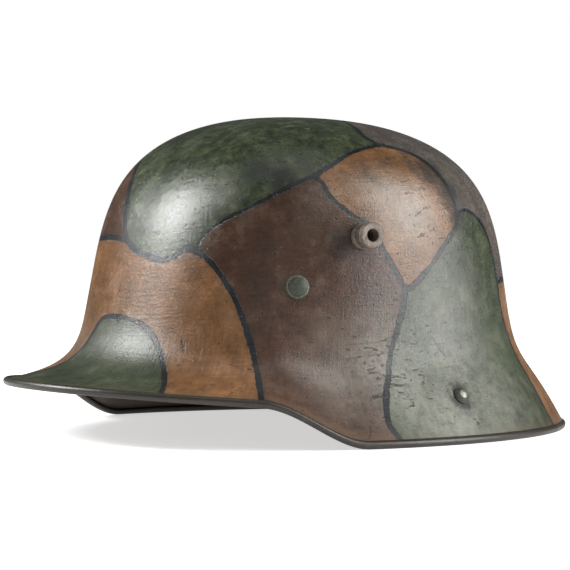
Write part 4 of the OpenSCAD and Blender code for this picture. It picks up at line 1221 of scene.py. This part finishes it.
def rowTree():
    tree, names, given, out = newGroup("rivetRow", "Geometry", dict(
        Geometry="Geometry", Count=2, Start="Vector", Step="Vector", Material="Material"), "Geometry")
    line = given["Count"].into("GeometryNodeMeshLine", "Count", {"Start Location": given["Start"],
                                                                 "Offset": given["Step"]})
    spread = line.into("GeometryNodeInstanceOnPoints", "Points", {"Instance": given["Geometry"]})
    plug(out[0], realized(spread, given))
    return tree, names


def repeat(piece, built, values):
    tree, names = built
    nodes = piece.modifiers.new(tree.name, "NODES")
    nodes.node_group = tree
    for label, value in values.items():
        nodes[names[label]] = value
    return freeze(piece)


stitches, rivetRow = stitchTree(), rowTree()
# Spacing, length and thickness of the stitches, in millimetres
thread = dict(tone=(176, 158, 118), twist=1400.0, onPads=(4.2, 3.0, 0.75), onCushions=(5, 3.4, 0.7))


def plainThread():
    material, place = newMaterial("waxedThread")
    colour = place.noise(500, 3).step(0.3, 0.7, 0.7, 1.1).tint(srgb(*thread["tone"]))
    return dress(material, colour=colour, roughness=0.8, sheen=0.2,
                 normal=place.waves(thread["twist"], 2.0, "DIAGONAL").bump(0.0001))


waxedThread = plainThread()


def stitchRow(name, points, sizes, seed):
    row = makeMesh(name, points, [], [(i, i + 1) for i in range(len(points) - 1)])
    named = {label: size * mm for label, size in zip(("Spacing", "Length", "Thickness"), sizes)}
    return repeat(row, stitches, {**named, "Seed": seed, "Material": waxedThread})


for name, degrees in liners.items():
    rows = []
    for i, b in enumerate(pad["seams"]):
        run = [padPoint(math.radians(degrees) + padTurn(a, b), b, -pad["seamSink"])
               for a in np.linspace(-pad["seamHalf"], pad["seamHalf"], 70)]
        rows.append(stitchRow(f"row{i}", run, thread["onPads"], i + 5))
    finish(joined("padStitches_" + name, rows), "helmet", material=waxedThread)

# Stuffed cushions
cushion = dict(height=8, half=44, lowB=0.28, highB=0.74, gap=pad["thick"] + pad["gap"] + 0.25, columns=24, rows=14,
               start=0.72, lift=0.9, rimLift=0.5, across=0.965, along=0.93, seamAt=0.9, voxel=3.6, pressure=4.0,
               cap=2.2, frames=20, fill=0.6)


def cushionThickness(a, c):
    return cushion["height"] * (0.3 + 0.7 * math.sqrt((1 - a ** 6) * (1 - c ** 4)))


def makeCushion(name, degrees, material):
    middle, columns, rows = math.radians(degrees), cushion["columns"], cushion["rows"]
    points = []
    for face in (0, 1):
        for j in range(rows + 1):
            for i in range(columns + 1):
                x, y = 2 * i / columns - 1, 2 * j / rows - 1
                a, c = cushion["across"] * x, cushion["along"] * y
                b = cushion["lowB"] + (cushion["highB"] - cushion["lowB"]) * (c + 1) / 2
                lift = cushion["lift"] + cushion["rimLift"] * max(abs(x) ** 8, abs(y) ** 8) * (1 - 2 * face)
                thick = face * (cushion["start"] * cushionThickness(a, c))
                points.append(padPoint(middle + math.radians(a * cushion["half"]), b, cushion["gap"] + lift + thick))
    w, size = columns + 1, (columns + 1) * (rows + 1)
    faces = grid(rows + 1, w, roundRow=False)
    faces += [tuple(size + k for k in reversed(f)) for f in faces]
    loop = [*range(w), *range(w + columns, size, w), *range(size - 2, size - w - 1, -1), *range(size - 2 * w, 0, -w)]
    faces += [(b, a, a + size, b + size) for a, b in zip(loop, loop[1:] + loop[:1])]
    piece = makeMesh("cushion_" + name, points, faces)
    rebuild(piece.data, [piece.data], faceOut)
    solid = piece.modifiers.new("remesh", "REMESH")
    solid.mode, solid.voxel_size = "VOXEL", cushion["voxel"] * mm
    freeze(piece)
    swell(piece)
    smooth = piece.modifiers.new("smooth", "SUBSURF")
    smooth.levels = smooth.render_levels = 1
    finish(freeze(piece), "helmet", "cushion_" + name, material)


def swell(piece):
    # The cover fills out under pressure, and no point moves further than the cap
    scene = bpy.context.scene
    rest = np.array([v.co for v in piece.data.vertices])
    cover = piece.modifiers.new("cover", "CLOTH")
    cover.settings.use_pressure = True
    cover.settings.uniform_pressure_force = cushion["pressure"]
    cover.settings.effector_weights.gravity = 0
    cover.settings.quality = 6
    cover.point_cache.frame_start, cover.point_cache.frame_end = 1, cushion["frames"]
    for number in range(1, cushion["frames"] + 1):
        scene.frame_set(number)
    shown = piece.evaluated_get(bpy.context.evaluated_depsgraph_get())
    moved = np.array([v.co for v in shown.data.vertices]) - rest
    size = np.linalg.norm(moved, axis=1)[:, None]
    moved *= np.minimum(1, cushion["cap"] * mm / np.maximum(size, 1e-9))
    piece.modifiers.clear()
    piece.data.vertices.foreach_set("co", (rest + moved).astype(np.float32).ravel())
    piece.data.update()
    scene.frame_set(1)


def linen():
    material, place = newMaterial("cushionLinen")
    bent = place.vector("ADD", place.noise(60.0, 2.0, 0.5, output="Color").scaled(0.002))
    threads = [bent.waves(300.0, 0.6, way) for way in "XYZ"]
    weave = threads[0] | threads[1] | threads[2]
    colour = place.noise(28, 5, 0.65).step(0.45, 0.7).mix(srgb(172, 156, 122), srgb(124, 104, 76))
    return dress(material, colour=weave.step(0.4, 1.0, 0.8, 1.06).tint(colour), roughness=0.85, sheen=0.3, specular=0.2,
                 normal=weave.bump(0.00018, place.noise(110, 4, 0.6).bump(0.0012)))


cloth = linen()
for name, degrees in liners.items():
    makeCushion(name, degrees, cloth)
    edge = [padPoint(math.radians(degrees) + math.radians(a * cushion["half"]), cushion["lowB"] + 0.004,
                     cushion["gap"] + 0.5 * cushionThickness(a, cushion["seamAt"]))
            for a in np.linspace(-cushion["along"], cushion["along"], 60)]
    finish(stitchRow("cushionSeam_" + name, edge, thread["onCushions"], 11), "helmet")
print("cushions made")

# Chinstrap
strap = dict(width=15, thick=2, reach=97, slant=16, rest=7.5, eyeX=92.137, bendY=6.5, leg=42, handle=24, bendHandle=44,
             start=2, hook=1.5, rivets=(5.5, 12.5), rivetRadius=1.3, rivetHead=2.3, rivetRise=0.9,
             crease=((1.9, 0.7, 0.28),), post=(0, 28.510, 21.047))
leatherOff = -(strap["hook"] + strap["thick"]) / 2 - 0.03
strapPlace = Matrix.Translation(Vector(strap["post"]) * mm) @ Matrix.Rotation(math.radians(-strap["rest"]), 4, "X")
slant = math.radians(strap["slant"])


def legPoint(s, w):
    # A place on the left leg: s along it from its bend, and w outwards from its middle
    return (strap["eyeX"] - s * math.sin(slant) + w * math.cos(slant),
            strap["bendY"] + s * math.cos(slant) + w * math.sin(slant))


def strapPath():
    half = [legPoint(s, leatherOff) for s in np.linspace(strap["start"], strap["leg"], 24)]
    a = np.array(half[-1])
    b = a + strap["handle"] * np.array([-math.sin(slant), math.cos(slant)])
    c, d = np.array([strap["bendHandle"], strap["reach"]]), np.array([0, strap["reach"]])
    half += [tuple(bezier(a, b, c, d, v)) for v in np.linspace(0, 1, 34)[1:]]
    return [(x, y, 0) for x, y in half] + [(-x, y, 0) for x, y in half[-2::-1]]


strapLeather = leather("strapLeather")
beltSection = slab(strap["thick"], strap["width"], 0.55, strap["crease"])
belt = strip("chinstrap", strapPath(), beltSection, (0, 0, 1), strapPlace, 0.8)
belt.data.set_sharp_from_angle(angle=math.radians(70))
finish(belt, "strap", "chinstrap", strapLeather)


def strapRivets(name, side, material):
    # One rivet turned on a lathe and repeated along the leg
    head, rise, r = pick(strap, "rivetHead rivetRise rivetRadius")
    inner = leatherOff - strap["thick"] / 2
    grip = strap["hook"] / 2 - inner
    dome = [(head * math.sin(a), rise * math.cos(a)) for a in np.radians([0, 22, 45, 66, 82, 90])]
    profile = [(x, grip + rise + z) for x, z in dome] + [(r, grip + rise), (r, rise)]
    profile += [(x, rise - z) for x, z in dome[::-1]]
    row = lathe(f"strapRivets_{name}", profile,
                Matrix.Rotation(slant, 4, "Z") @ Matrix.Rotation(math.radians(90), 4, "Y"), 32)
    first, second = (Vector((*legPoint(s, inner - rise), 0)) * mm for s in strap["rivets"])
    repeat(row, rivetRow, {"Count": len(strap["rivets"]), "Start": first, "Step": second - first, "Material": material})
    row.data.transform(Matrix.Scale(side, 4, (1, 0, 0)) @ strapPlace)
    if side < 0:
        row.data.flip_normals()
    finish(row, "strap", f"strap_rivets_{name}")


rivetSteel = agedPaint("rivetSteel")
for name, side in sides.items():
    strapRivets(name, side, rivetSteel)

buckleSteel = agedPaint("buckleSteel")
for side in sides:
    fromNode(f"strap_buckle_{side}", f"strapBuckle_{side}", f"buckle_{side}", buckleSteel, 0.4)
print("chinstrap made")
